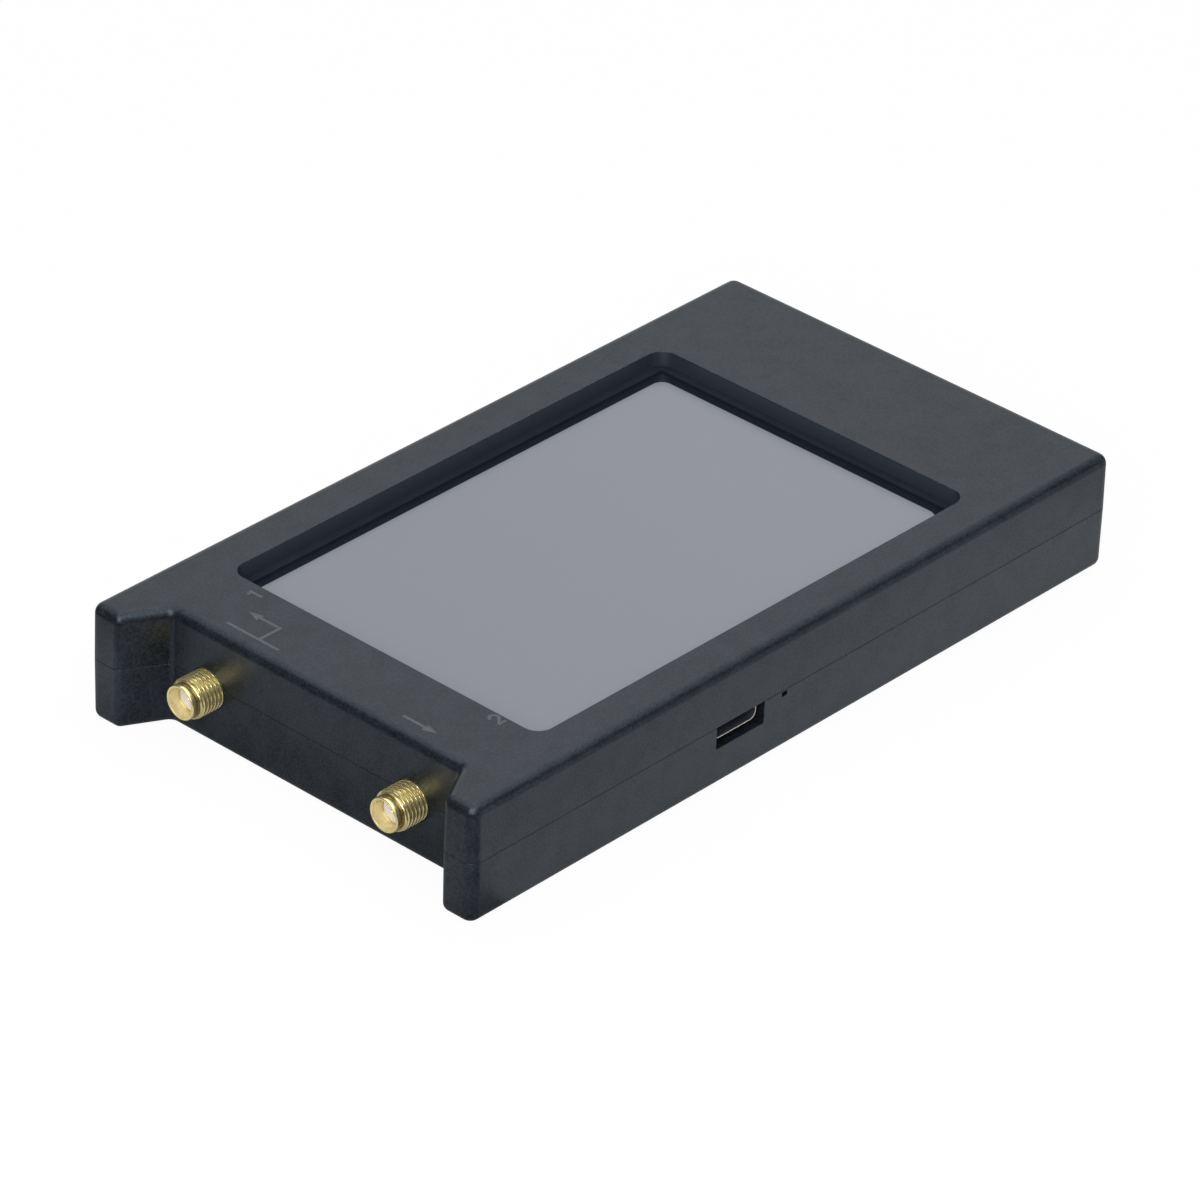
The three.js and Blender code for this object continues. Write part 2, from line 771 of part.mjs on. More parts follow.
function powerHousing() {
  const shell = block(span(0, powerWidth), span(0, powerDepth), span(0, powerHeight));
  const room = block(
    span(0, knobFootWidth + powerTravel + 2 * fitGap),
    [-powerDepth / 2 + powerWall, powerDepth / 2 - powerWall],
    span(0, powerHeight - 2 * powerWall),
  );
  const slot = block(
    span(0, knobWidth + powerTravel + fitGap),
    [0, powerDepth / 2 + overrun],
    span(0, knobHeight + 2 * fitGap),
  );
  return cut(shell, room, slot);
}

function powerKnob() {
  const foot = block(
    span(0, knobFootWidth),
    [-powerDepth / 2 + powerWall + fitGap, powerDepth / 2 - powerWall - fitGap],
    span(0, powerHeight - 2 * (powerWall + fitGap)),
  );
  const tip = farY + knobReach - powerMiddleY;
  const stem = block(span(0, knobWidth), [0, tip], span(0, knobHeight));
  const grooves = Array.from({ length: knobRidgeCount }, (_, k) => {
    const x = knobWidth * ((k + 1 / 2) / knobRidgeCount - 1 / 2);
    return block(
      span(x, knobRidge), [tip - knobRidge, tip + overrun], span(0, knobHeight + overrun));
  });
  return cut(joined(foot, stem), grooves);
}

function powerSwitch() {
  return grouped(
    [powerShift, powerMiddleY, powerAxisHeight],
    piece("power_switch_housing", powerHousing(), colours.steel),
    placed(piece("power_switch_knob", powerKnob(), colours.blackPlastic), -powerTravel / 2, 0),
  );
}

// Jog switch, drawn about its lever's pivot, with +Y outwards

const jogPivotY = farY - jogPivotSetback;
const jogFaceY = powerFaceY - jogPivotY;
const jogBackY = -(jogHubRadius + jogPress + fitGap + jogWall);
const leverTipY = jogPivotSetback + leverReach;
const jogRoomHeight = jogHeight - 2 * jogWall;
const leverBottom = -leverThickness / 2;

function jogHousing() {
  const shell = block(span(0, jogWidth), [jogBackY, jogFaceY], span(0, jogHeight));
  const room = block(
    span(0, jogWidth - 2 * jogWall),
    [jogBackY + jogWall, jogFaceY + overrun],
    span(0, jogRoomHeight),
  );
  return cut(shell, room);
}

function jogSlider() {
  const plateTop = leverBottom - fitGap / 2;
  const plateBottom = -jogRoomHeight / 2 + fitGap / 2;
  const plate = block(
    span(0, jogSlideWidth),
    [jogBackY + jogWall + jogPress + fitGap, jogFaceY - fitGap],
    [plateBottom, plateTop],
  );
  const pin = rod(jogPinRadius, [plateBottom, leverThickness / 2 + fitGap / 2], [0, 0], "z", smallSides);
  return joined(plate, pin);
}

function jogLever() {
  const thickness = span(0, leverThickness);
  const hub = rod(jogHubRadius, thickness, [0, 0], "z", smallSides);
  const neck = block(span(0, leverNeck), [0, leverNeckEnd + leverFlare], thickness);
  const tab = prism(
    roundedOutline([
      [-leverNeck / 2, leverNeckEnd, insideCornerRadius],
      [leverNeck / 2, leverNeckEnd, insideCornerRadius],
      [leverTabWidth / 2, leverNeckEnd + leverFlare, insideCornerRadius],
      [leverTabWidth / 2 - leverGroove, leverTipY, leverFlare],
      [leverGroove - leverTabWidth / 2, leverTipY, leverFlare],
      [-leverTabWidth / 2, leverNeckEnd + leverFlare, insideCornerRadius],
    ]),
    thickness,
  );
  const grooves = Array.from({ length: leverGrooveCount }, (_, k) => {
    const x = (k - (leverGrooveCount - 1) / 2) * leverGroovePitch;
    return rod(leverGroove, grown(thickness, overrun), [x, leverTipY], "z", leadSides);
  });
  const eye = rod(jogPinRadius + fitGap, grown(thickness, overrun), [0, 0], "z", smallSides);
  return cut(joined(hub, neck, tab), grooves, eye);
}

function jogSwitch() {
  return grouped(
    [jogShift, jogPivotY, jogAxisHeight],
    piece("jog_switch_housing", jogHousing(), colours.blackPlastic),
    piece("jog_slider", jogSlider(), colours.steel),
    piece("jog_lever", jogLever(), colours.blackPlastic),
  );
}

// Memory card socket, drawn with its mouth at x = 0 facing +X and its top at z = 0

function cardShell() {
  const cover = block([-cardLength, 0], span(0, cardWidth), [-cardHeight, 0]);
  const room = block(
    [-cardLength - overrun, overrun],
    span(0, cardWidth - 2 * cardWall),
    [-cardHeight + cardWall, overrun],
  );
  const windows = [-1, 1].map((side) =>
    block(
      span(-cardLength / 2, cardWindow),
      span((side * cardWidth) / 4, cardWindow),
      [-cardHeight - overrun, cardWall - cardHeight + overrun / 2],
    ));
  return cut(cover, room, windows);
}

function cardBase() {
  const floorThickness = cardHeight - 2 * cardWall - cardMouthHeight - pressGap;
  const bottom = -cardHeight + cardWall + pressGap;
  const frame = block(
    [-cardLength, -cardRail],
    span(0, cardWidth - 2 * (cardWall + pressGap)),
    [bottom, 0],
  );
  const pocket = block(
    [-cardLength + 2 * cardRail, overrun],
    span(0, cardMouthWidth),
    [bottom - overrun, -floorThickness - cardWall],
  );
  return cut(frame, pocket);
}

function cardSocket() {
  return grouped(
    [endX - sideWall - 2 * fitGap, cardShift, boardBottom],
    piece("card_socket_shell", cardShell(), colours.steel),
    piece("card_socket_base", cardBase(), colours.blackPlastic),
  );
}

// Screen stack

function screenGasket() {
  const spanZ = [touchTop, ceiling];
  const outside = slab(grown(windowX, gasketSeat), grown(windowY, gasketSeat), spanZ, screenRadius);
  return cut(outside, slab(grown(windowX, -gasketReach), grown(windowY, -gasketReach),
    grown(spanZ, overrun), screenRadius));
}

function touchPanel() {
  return slab(screenX, screenY, [touchBottom, touchTop], screenRadius);
}

function screenTray() {
  const tray = slab(screenX, screenY, [trayBottom, touchBottom], screenRadius);
  const pocket = slab(
    grown(screenX, -trayWall), grown(screenY, -trayWall), [panelBottom, touchBottom + overrun], panelBorder);
  const exit = block(
    [screenX[1] - 2 * trayWall, screenX[1] + overrun],
    span(ribbonShift, ribbonWidth + 2 * fitGap),
    [panelBottom, touchBottom + overrun],
  );
  return cut(tray, pocket, exit);
}

function displayPanel() {
  return slab(
    grown(screenX, -trayWall - fitGap), grown(screenY, -trayWall - fitGap), [panelBottom, touchBottom],
    panelBorder);
}

function screenTape() {
  const spanZ = [boardTop, trayBottom];
  const outside = slab(grown(screenX, -tapeWidth / 4), grown(screenY, -tapeWidth / 4), spanZ, screenRadius);
  return cut(outside, slab(grown(screenX, -tapeWidth), grown(screenY, -tapeWidth), grown(spanZ, overrun),
    screenRadius));
}

const connectorX = screenX[1] + fitGap + screenRib + connectorSetback;

// A flat ribbon that runs out at one height and steps down to another.
function ribbon(startX, startZ, spanY) {
  const stopX = connectorX - fitGap;
  const stopZ = boardTop + connectorHeight / 2;
  const middle = (startX + stopX) / 2;
  const path = new THREE.CubicBezierCurve(
    new THREE.Vector2(startX, startZ),
    new THREE.Vector2(middle, startZ),
    new THREE.Vector2(middle, stopZ),
    new THREE.Vector2(stopX, stopZ),
  );
  const line = [...path.getPoints(leadSteps), new THREE.Vector2(connectorX + ribbonGrip, stopZ)];
  const half = ribbonThickness / 2;
  const under = line.map(({ x, y }) => new THREE.Vector2(y - half, x));
  const over = line.map(({ x, y }) => new THREE.Vector2(y + half, x)).reverse();
  return prism([...under, ...over].reverse(), spanY, "y");
}

function screenRibbon() {
  return ribbon(screenX[1] - trayWall, panelBottom + panelThickness / 2, span(ribbonShift, ribbonWidth));
}

function touchRibbon() {
  return ribbon(
    screenX[1] + pressGap, touchBottom + touchThickness / 2, span(touchRibbonShift, touchRibbonWidth));
}

function ribbonConnector(shift, width) {
  const shell = block(
    [connectorX, connectorX + connectorDepth],
    span(shift, width + 2 * connectorEar),
    [boardTop, boardTop + connectorHeight],
  );
  const mouth = block(
    [connectorX - overrun, connectorX + ribbonGrip + fitGap],
    span(shift, width + 2 * fitGap),
    span(boardTop + connectorHeight / 2, ribbonThickness + fitGap),
  );
  const latchGap = block(
    [connectorX + connectorDepth - connectorLatch, connectorX + connectorDepth - connectorLatch / 2],
    span(shift, width),
    [boardTop + connectorHeight / 2, boardTop + connectorHeight + overrun],
  );
  return cut(shell, mouth, latchGap);
}

function screenStack() {
  return grouped(
    [0, 0, 0],
    piece("screen_gasket", screenGasket(), colours.foam),
    piece("touch_panel", touchPanel(), colours.touch),
    piece("display_panel", displayPanel(), colours.screen),
    piece("display_tray", screenTray(), colours.steel),
    piece("display_tape", screenTape(), colours.tape),
    piece("display_ribbon", screenRibbon(), colours.ribbon),
    piece("display_connector", ribbonConnector(ribbonShift, ribbonWidth), colours.whitePlastic),
    piece("touch_ribbon", touchRibbon(), colours.ribbon),
    piece("touch_connector", ribbonConnector(touchRibbonShift, touchRibbonWidth), colours.whitePlastic),
  );
}

// Battery, its leads and its plug

const batteryBottom = floorWall + batteryPad;
const batteryTop = batteryBottom + batteryThickness;
const headerGap = fitGap / 2;
const headerHeight = plugHeight + 2 * (headerWall + headerGap);
const plugHeightZ = boardBottom - headerHeight / 2;
const leadEnds = [batteryY[1] + fitGap, batteryY[1] + fitGap + leadRun];
const plugBackY = leadEnds[1] + fitGap;
const plugY = plugBackY + 2 * plugLatch + headerWall + plugDepth / 2;

function batteryCell() {
  const corners = rectangleCorners(batteryX, batteryY, batteryRadius);
  const rings = [];
  for (let k = 0; k <= filletSteps; k++) {
    const angle = (Math.PI / 2) * (k / filletSteps);
    const inset = batteryCrown * (1 - Math.sin(angle));
    const z = batteryBottom + batteryCrown * (1 - Math.cos(angle));
    rings.push({ z, points: roundedOutline(corners, inset) });
  }
  const upper = rings.map(({ z, points }) => ({ z: batteryBottom + batteryTop - z, points })).reverse();
  return loft([...rings, ...upper]);
}

const batteryTape = () =>
  slab(grown(batteryX, -tapeWidth), grown(batteryY, -tapeWidth), [floorWall, batteryBottom], batteryRadius);

function batteryHeader() {
  const shell = block(
    span(plugShift, plugWidth + 2 * (headerWall + headerGap)),
    span(plugY, plugDepth + 2 * headerWall),
    span(plugHeightZ, headerHeight),
  );
  const room = block(
    span(plugShift, plugWidth + 2 * headerGap),
    [plugY - plugDepth / 2 - headerWall - overrun, plugY + plugDepth / 2],
    span(plugHeightZ, plugHeight + 2 * headerGap),
  );
  return cut(shell, room);
}

function batteryPlug() {
  const depth = [plugBackY + plugLatch, plugY + plugDepth / 2 - fitGap];
  const body = block(span(plugShift, plugWidth), depth, span(plugHeightZ, plugHeight));
  const latch = block(
    span(plugShift, plugWidth + 2 * plugLatch),
    [plugBackY, plugBackY + plugLatch * 3 / 2],
    span(plugHeightZ, plugHeight + 2 * plugLatch),
  );
  return joined(body, latch);
}

// One insulated wire from the battery's end to the back of the plug.
function batteryLead(side) {
  const x = plugShift + (side * leadPitch) / 2;
  const [startY, endY] = leadEnds;
  const middleZ = (batteryBottom + batteryTop) / 2;
  const path = new THREE.CatmullRomCurve3([
    new THREE.Vector3(x, startY, middleZ),
    new THREE.Vector3(x, startY + (endY - startY) / 3, middleZ),
    new THREE.Vector3(x, endY - (endY - startY) / 3, plugHeightZ),
    new THREE.Vector3(x, endY, plugHeightZ),
  ]);
  const section = new THREE.Shape(circle(leadRadius, leadSides));
  return solidOf(new THREE.ExtrudeGeometry(section, {
    steps: leadSteps, bevelEnabled: false, extrudePath: path }));
}

function powerStore() {
  return grouped(
    [0, 0, 0],
    piece("battery_cell", batteryCell(), colours.pouch),
    piece("battery_tape", batteryTape(), colours.tape),
    piece("battery_header", batteryHeader(), colours.whitePlastic),
    piece("battery_plug", batteryPlug(), colours.whitePlastic),
    piece("battery_lead_red", batteryLead(1), colours.redWire),
    piece("battery_lead_black", batteryLead(-1), colours.blackWire),
  );
}

// Shield cans and chips, drawn with the board's underside at z = 0

function shieldCan() {
  const spanX = span(0, canLength);
  const spanY = span(0, portSpacing / 2 - canGap);
  const can = slab(spanX, spanY, [-canHeight, 0], canRadius);
  const room = slab(grown(spanX, -canWall), grown(spanY, -canWall), [canWall - canHeight, overrun],
    canRadius - canWall);
  const holes = [];
  for (let column = 0; column < canHoleColumns; column++) {
    for (let row = 0; row < canHoleRows; row++) {
      const x = (column - (canHoleColumns - 1) / 2) * canHolePitch;
      const y = (row - (canHoleRows - 1) / 2) * canHolePitch;
      holes.push(rod(canHole, [-canHeight - overrun, -canHeight + overrun], [x, y], "z", leadSides));
    }
  }
  return cut(can, room, holes);
}

// Feet in a row along X that leave a body's side at half its height and drop to the board.
function chipLegs(count, pitch, side, half, reach, height) {
  return Array.from({ length: count }, (_, k) => {
    const across = span((k - (count - 1) / 2) * pitch, legMetalWidth);
    const shoulder = [-height / 2 - legFootThickness, -height / 2];
    return joined(
      block(across, ordered(side * (half - legFootThickness), side * (half + reach)), shoulder),
      block(across, ordered(side * (half + reach - legFootWidth), side * (half + reach)), [shoulder[0], 0]),
    );
  });
}

function processor() {
  const half = processorWidth / 2;
  const side = span(0, processorWidth);
  const body = block(side, side, [-processorHeight - chipGap, -chipGap]);
  const legRow = [-1, 1].flatMap((way) =>
    chipLegs(processorLegs, processorPitch, way, half, processorLegReach, processorHeight));
  const row = joined(legRow);
  const turnedRow = solidOf(geometryOf(row).rotateZ(Math.PI / 2));
  return joined(body, row, turnedRow);
}

function smallChip() {
  const half = smallChipWidth / 2;
  const body = block(
    span(0, smallChipLength), span(0, smallChipWidth), [-smallChipHeight - chipGap, -chipGap]);
  const legRow = [-1, 1].flatMap((side) =>
    chipLegs(smallChipLegs, smallChipPitch, side, half, smallChipLegReach, smallChipHeight));
  return joined(body, legRow);
}

const flatChip = (length, width, height, radius) =>
  slab(span(0, length), span(0, width), [-height, 0], radius);

function inductor() {
  return joined(
    rod(inductorNeck, [-inductorHeight, 0], [0, 0], "z", smallSides),
    rod(inductorRadius, [-inductorHeight, inductorFlange - inductorHeight], [0, 0], "z", smallSides),
    rod(inductorRadius, [-inductorFlange, 0], [0, 0], "z", smallSides),
  );
}

function electronics() {
  const canX = recessX + bossSetback + lowerBossRadius + fitGap + canLength / 2;
  const rowYs = [portYs[0], portShift, portYs[1]];
  const cans = rowYs.map((y, i) =>
    placed(piece("shield_can_" + (i + 1), shieldCan(), colours.steel), canX, y));
  const mixers = rowYs.map((y, i) =>
    placed(piece("mixer_" + (i + 1), smallChip(), colours.chip), canX, y));
  const chipX = recessX + chipColumn;
  const clockY = portShift - (chipRow + codecWidth) / 2;
  const supplyX = usbShift + usbWidth / 2 + supplyGap;
  const supplyY = supplyRow - farY;
  return grouped(
    [0, 0, boardBottom],
    ...cans,
    ...mixers,
    placed(piece("processor", processor(), colours.chip), chipX, portShift + chipRow),
    placed(piece("audio_codec", flatChip(codecWidth, codecWidth, codecHeight, pressGap), colours.chip),
      chipX, portShift),
    placed(piece("clock_generator", smallChip(), colours.chip), chipX, clockY),
    placed(piece("reference_crystal",
      flatChip(crystalLength, crystalWidth, crystalHeight, crystalWidth / 4), colours.steel),
    chipX, portShift - chipRow - crystalLength / 2),
    placed(piece("charger_chip", smallChip(), colours.chip), supplyX, supplyY),
    placed(piece("power_inductor", inductor(), colours.foam), supplyX + inductorSpacing, supplyY),
  );
}

const analyzer = new THREE.Group();
analyzer.add(
  housing(),
  piece("main_board", mainBoard(), colours.board),
  ...portYs.map((y, i) => port(i + 1, y)),
  chargingSocket(),
  statusLight(),
  powerSwitch(),
  jogSwitch(),
  cardSocket(),
  screenStack(),
  powerStore(),
  electronics(),
);

export default analyzer;
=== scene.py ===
"""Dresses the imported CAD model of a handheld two-port network analyzer.

Classes hold sizes in millimetres and meshes are written in metres. The long axis lies along X with the
coaxial ports at -X, the screen faces +Z, and the origin is the middle of the underside.
"""

import json
import logging
import math
from dataclasses import dataclass, field
from enum import Enum

import bmesh
import bpy
import numpy as np
from mathutils import Matrix, Vector

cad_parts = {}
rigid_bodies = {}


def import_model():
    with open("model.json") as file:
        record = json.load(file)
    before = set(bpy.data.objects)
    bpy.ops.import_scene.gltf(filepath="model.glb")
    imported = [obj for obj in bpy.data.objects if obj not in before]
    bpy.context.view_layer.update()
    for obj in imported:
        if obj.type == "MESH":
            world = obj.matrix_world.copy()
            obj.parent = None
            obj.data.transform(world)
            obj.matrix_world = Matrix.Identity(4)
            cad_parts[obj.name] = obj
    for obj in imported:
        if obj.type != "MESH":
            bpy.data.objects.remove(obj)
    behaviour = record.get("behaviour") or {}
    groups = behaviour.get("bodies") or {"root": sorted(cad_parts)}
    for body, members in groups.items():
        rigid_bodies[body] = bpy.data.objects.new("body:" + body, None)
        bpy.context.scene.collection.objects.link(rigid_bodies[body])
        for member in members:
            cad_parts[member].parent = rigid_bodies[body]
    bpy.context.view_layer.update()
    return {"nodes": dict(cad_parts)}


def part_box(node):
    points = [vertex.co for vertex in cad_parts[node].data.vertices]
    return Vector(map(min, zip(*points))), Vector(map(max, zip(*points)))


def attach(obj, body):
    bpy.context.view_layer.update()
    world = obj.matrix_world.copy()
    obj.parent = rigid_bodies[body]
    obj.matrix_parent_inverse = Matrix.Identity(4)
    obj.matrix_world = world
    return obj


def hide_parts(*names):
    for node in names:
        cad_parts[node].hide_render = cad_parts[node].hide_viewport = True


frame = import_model()

Array = np.ndarray
Colour = tuple[float, float, float]
Triple = tuple[float, float, float]
Span = tuple[float, float]
Place = tuple[float, float]
Pair = tuple[float, float]

# Metres in a millimetre, and where the sizes are written
MM = 0.001

# Turns in radians
QUARTER = math.pi / 2
FULL_TURN = 2 * math.pi

# How far a cutter runs past a face, and the smallest radius or gap
OVERRUN = 1.0
TINY = 0.001

# Sides of small holes and of round port parts, and rays of an edge mask
COARSE_SIDES = 24
FINE_SIDES = 64
EDGE_SAMPLES = 4

# Numbers in node names
SCREWS = (1, 2, 3, 4)
PORTS = (1, 2)

BLACK = (0.0, 0.0, 0.0)
WHITE = (1.0, 1.0, 1.0)

# Colour sockets of Blender's Mix node
MIX_FIRST, MIX_SECOND, MIX_RESULT = 6, 7, 2

# Sizes that a piece shares with its finish
PORT_YS = (20.8, -19.2)
PORT_Z = 9.05
WINDOW_X = (-47.8, 43.45)
WINDOW_Y = (-30.4, 29.8)
CHARGER_MOUTH_Y = -36.45

log = logging.getLogger("analyzer")


class Body(Enum):
    """Bodies of the frame that pieces ride on."""

    HOUSING = "housing"
    POWER_KNOB = "power_knob"
    JOG_LEVER = "jog_lever"


class Axis(Enum):
    """World axis that a shape is built up along. The value rolls (x, y, z) columns to lay it there."""

    X = 1
    Y = -1
    Z = 0


class Carve(Enum):
    """What one solid does to another."""

    CUT = "DIFFERENCE"
    JOIN = "UNION"


# Number helpers


def span(middle: float, size: float) -> Span:
    """Low and high ends of a size about its middle."""
    return middle - size / 2, middle + size / 2


def ordered(first: float, second: float) -> Span:
    """Span between two numbers that come in either order."""
    return min(first, second), max(first, second)


def grown(ends: Span, by: float) -> Span:
    """Span with both ends moved outwards by one amount."""
    return ends[0] - by, ends[1] + by


def middle_of(ends: Span) -> float:
    """Middle of a span."""
    return (ends[0] + ends[1]) / 2


def half_of(ends: Span) -> float:
    """Half the length of a span."""
    return (ends[1] - ends[0]) / 2


def node_spans(node: str) -> tuple[Span, Span, Span]:
    """Extent of a CAD node along X, Y and Z, in millimetres."""
    low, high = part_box(node)
    return tuple((low[k] / MM, high[k] / MM) for k in range(3))


def unit(vectors: Array) -> Array:
    """Rows of vectors scaled to length one."""
    return vectors / np.linalg.norm(vectors, axis=-1, keepdims=True)


def smooth(share: Array) -> Array:
    """Smooth step of a share: three times its square less twice its cube."""
    return share * share * (3 - 2 * share)


def crowded(ends: Span, count: int) -> Array:
    """Numbers over a span, closer together towards its ends, as half of (1 - cos) of an even half turn."""
    return ends[0] + (ends[1] - ends[0]) * (1 - np.cos(np.linspace(0, math.pi, count))) / 2


def corner_arc(corner: Pair, reach: Pair, steps: int = 4) -> list[Pair]:
    """Quarter of an ellipse that rounds one corner of a profile.

    Over a quarter turn t, a point is the corner plus the reach times (1 - sin t) along the height and
    (1 - cos t) along the radius.

    Args:
        corner: Height and radius of the sharp corner.
        reach: How far the arc's ends stand from it along each, with their signs.
        steps: Steps round the arc.

    Returns:
        Points that start at the corner's radius and end at its height.
    """
    turn = np.linspace(0, QUARTER, steps + 1)
    return list(zip(corner[0] + reach[0] * (1 - np.sin(turn)), corner[1] + reach[1] * (1 - np.cos(turn))))


def round_profile(ends: Span, edge: float, steps: int = 4) -> tuple[Array, Array]:
    """Heights and insets up the side of a block whose two ends have rounded edges.

    Args:
        ends: Lowest and highest height.
        edge: Radius of the rounded edges, or zero for sharp ones.
        steps: Steps round each edge.

    Returns:
        Heights and insets, from the low end to the high end.
    """
    if edge <= 0:
        return np.array(ends, float), np.zeros(2)
    foot = corner_arc((ends[0], 0.0), (edge, edge), steps)[::-1]
    head = corner_arc((ends[1], 0.0), (-edge, edge), steps)
    return tuple(np.array(foot + head).T)


# Outlines, which run anticlockwise


def rectangle(across: Span, up: Span, radius: float) -> Array:
    """Corners of a rectangle as rows of x, y and corner radius."""
    (x0, x1), (y0, y1) = across, up
    return np.array([[x0, y0, radius], [x1, y0, radius], [x1, y1, radius], [x0, y1, radius]], float)


def outline(corners: Array, insets: Array | float = 0.0, steps: int = 8, least: float = 0.4) -> Array:
    """Closed outlines with an arc at each corner, one outline for each inset.

    Each corner moves along its bisector until both of its sides have come inwards by the inset. Its arc
    keeps its centre, so the radius shrinks by the inset at an outer corner and grows at an inner one. A
    point of the arc is the centre plus the spoke to the arc's start, turned by a share of the corner's turn.

    Args:
        corners: Rows of x, y and radius.
        insets: How far the sides move inwards.
        steps: Steps round each corner.
        least: Smallest radius that an arc shrinks to.

    Returns:
        Points as an array of outlines by points by x and y.
    """
    inset = np.atleast_1d(np.asarray(insets, float))[:, None]
    places, radii = corners[:, :2], corners[:, 2]
    arriving = unit(places - np.roll(places, 1, axis=0))
    leaving = np.roll(arriving, -1, axis=0)
    cosine = (arriving * leaving).sum(axis=1)
    turn = np.arctan2(arriving[:, 0] * leaving[:, 1] - arriving[:, 1] * leaving[:, 0], cosine)
    side = np.sign(turn)
    inward = np.stack([-arriving[:, 1], arriving[:, 0]], axis=1)
    bisector = inward + np.roll(inward, -1, axis=0)
    corner = places + bisector * (inset / (1 + cosine))[..., None]
    arc = np.maximum(radii - side * inset, least)
    start = corner - arriving * (arc * np.tan(np.abs(turn) / 2))[..., None]
    centre = start + inward * (side * arc)[..., None]
    angle = turn[:, None] * np.linspace(0, 1, steps + 1)
    spoke = start - centre
    x = centre[..., 0, None] + spoke[..., 0, None] * np.cos(angle) - spoke[..., 1, None] * np.sin(angle)
    y = centre[..., 1, None] + spoke[..., 0, None] * np.sin(angle) + spoke[..., 1, None] * np.cos(angle)
    return np.stack([x, y], axis=-1).reshape(len(inset), -1, 2)


def circles(radii: Array | float, sides: int = 48, place: Place = (0, 0)) -> Array:
    """Round outlines about one place: the radii times the cosine and sine of an even run of angles.

    Args:
        radii: Radius of each circle, or its radius at each angle.
        sides: Number of angles.
        place: Middle of the circles.

    Returns:
        Points as an array of outlines by points by x and y.
    """
    angle = np.arange(sides) * FULL_TURN / sides
    ring = np.stack([np.cos(angle), np.sin(angle)], axis=-1)
    size = np.atleast_1d(radii)
    return (size if size.ndim > 1 else size[:, None])[..., None] * ring + np.array(place)


def ribbon_outline(path: Array, width: float) -> Array:
    """Outline of a stroke: the path moved half the width along its normal, and back on the other side.

    Args:
        path: Points along the stroke's middle.
        width: Width of the stroke.

    Returns:
        Points round the stroke.
    """
    way = unit(np.gradient(path, axis=0))
    normal = np.stack([way[:, 1], -way[:, 0]], axis=1) * width / 2
    return np.concatenate([path + normal, (path - normal)[::-1]])


# Solids


@dataclass
class Skin:
    """Closed surface: corner places in millimetres, and faces as lists of corner numbers."""

    points: Array
    faces: list[list[int]]

    def __add__(self, other: "Skin") -> "Skin":
        """Both surfaces as one, left apart."""
        shifted = [[corner + len(self.points) for corner in face] for face in other.faces]
        return Skin(np.vstack([self.points, other.points]), self.faces + shifted)

    def mesh(self, scale: float = 1.0) -> bpy.types.Mesh:
        """The surface as a Blender mesh.

        Args:
            scale: Blender units for each millimetre.

        Returns:
            New mesh.
        """
        mesh = bpy.data.meshes.new("skin")
        mesh.from_pydata((self.points * scale).tolist(), [], self.faces)
        mesh.validate()
        return mesh

    def carved(self, way: Carve, *tools: "Skin", overlapping: bool = False) -> "Skin":
        """The solid cut by or joined to other solids, by an exact Boolean.

        Args:
            way: Kind of Boolean.
            tools: The other solids.
            overlapping: Whether the tools run into each other.

        Returns:
            New solid with slivers removed.
        """
        tool = sum(tools[1:], tools[0])
        scene = bpy.context.scene.collection.objects
        body, cutter = (bpy.data.objects.new("carving", skin.mesh()) for skin in (self, tool))
        for made in (body, cutter):
            scene.link(made)
        modifier = body.modifiers.new("carve", "BOOLEAN")
        modifier.operation = way.value
        modifier.solver = "EXACT"
        modifier.use_self = overlapping
        modifier.object = cutter
        carved = bmesh.new()
        carved.from_object(body, bpy.context.evaluated_depsgraph_get())
        bmesh.ops.remove_doubles(carved, verts=carved.verts, dist=TINY)
        bmesh.ops.dissolve_degenerate(carved, dist=TINY, edges=carved.edges)
        carved.verts.index_update()
        points = np.array([corner.co[:] for corner in carved.verts])
        faces = [[corner.index for corner in face.verts] for face in carved.faces]
        carved.free()
        for made in (body, cutter):
            mesh = made.data
            bpy.data.objects.remove(made)
            bpy.data.meshes.remove(mesh)
        return Skin(points, faces)


def loft(rings: Array, axis: Axis = Axis.Z, closed: bool = False) -> Skin:
    """Solid through rings of equally many points, with flat ends or closed on itself.

    Args:
        rings: Rings by points by (x, y, height), each ring anticlockwise seen from its top.
        axis: World axis that the height runs along.
        closed: Whether the last ring joins the first, instead of flat ends.

    Returns:
        The surface, facing outwards.
    """
    count, sides = rings.shape[:2]
    index = np.arange(count * sides).reshape(count, sides)
    rows = np.vstack([index, index[:1]]) if closed else index
    grid = np.hstack([rows, rows[:, :1]])
    quads = np.stack([grid[:-1, :-1], grid[:-1, 1:], grid[1:, 1:], grid[1:, :-1]], axis=-1).reshape(-1, 4)
    faces = quads.tolist()
    if not closed:
        faces += [index[0, ::-1].tolist(), index[-1].tolist()]
    return Skin(np.roll(rings.reshape(-1, 3), axis.value, axis=1), faces)


def stacked(outlines: Array, heights: Array) -> Array:
    """Outlines with a height added to every point of each."""
    raised = np.broadcast_to(np.asarray(heights, float)[:, None, None], outlines.shape[:2] + (1,))
    return np.concatenate([outlines, raised], axis=-1)


def slab(across: Span, up: Span, along: Span, radius: float, edge: float = 0.0,
         axis: Axis = Axis.Z, steps: int = 6) -> Skin:
    """Block with rounded edges along one axis, and rounded rims at its two ends.

    Args:
        across: Extent along the first axis of its section.
        up: Extent along the second axis of its section.
        along: Extent along the axis that it is built up along.
        radius: Radius of the section's corners.
        edge: Radius of the rims.
        axis: World axis that it is built up along.
        steps: Steps round each corner.

    Returns:
        The solid.
    """
    heights, insets = round_profile(along, edge)
    return loft(stacked(outline(rectangle(across, up, radius), insets, steps, least=TINY), heights), axis)


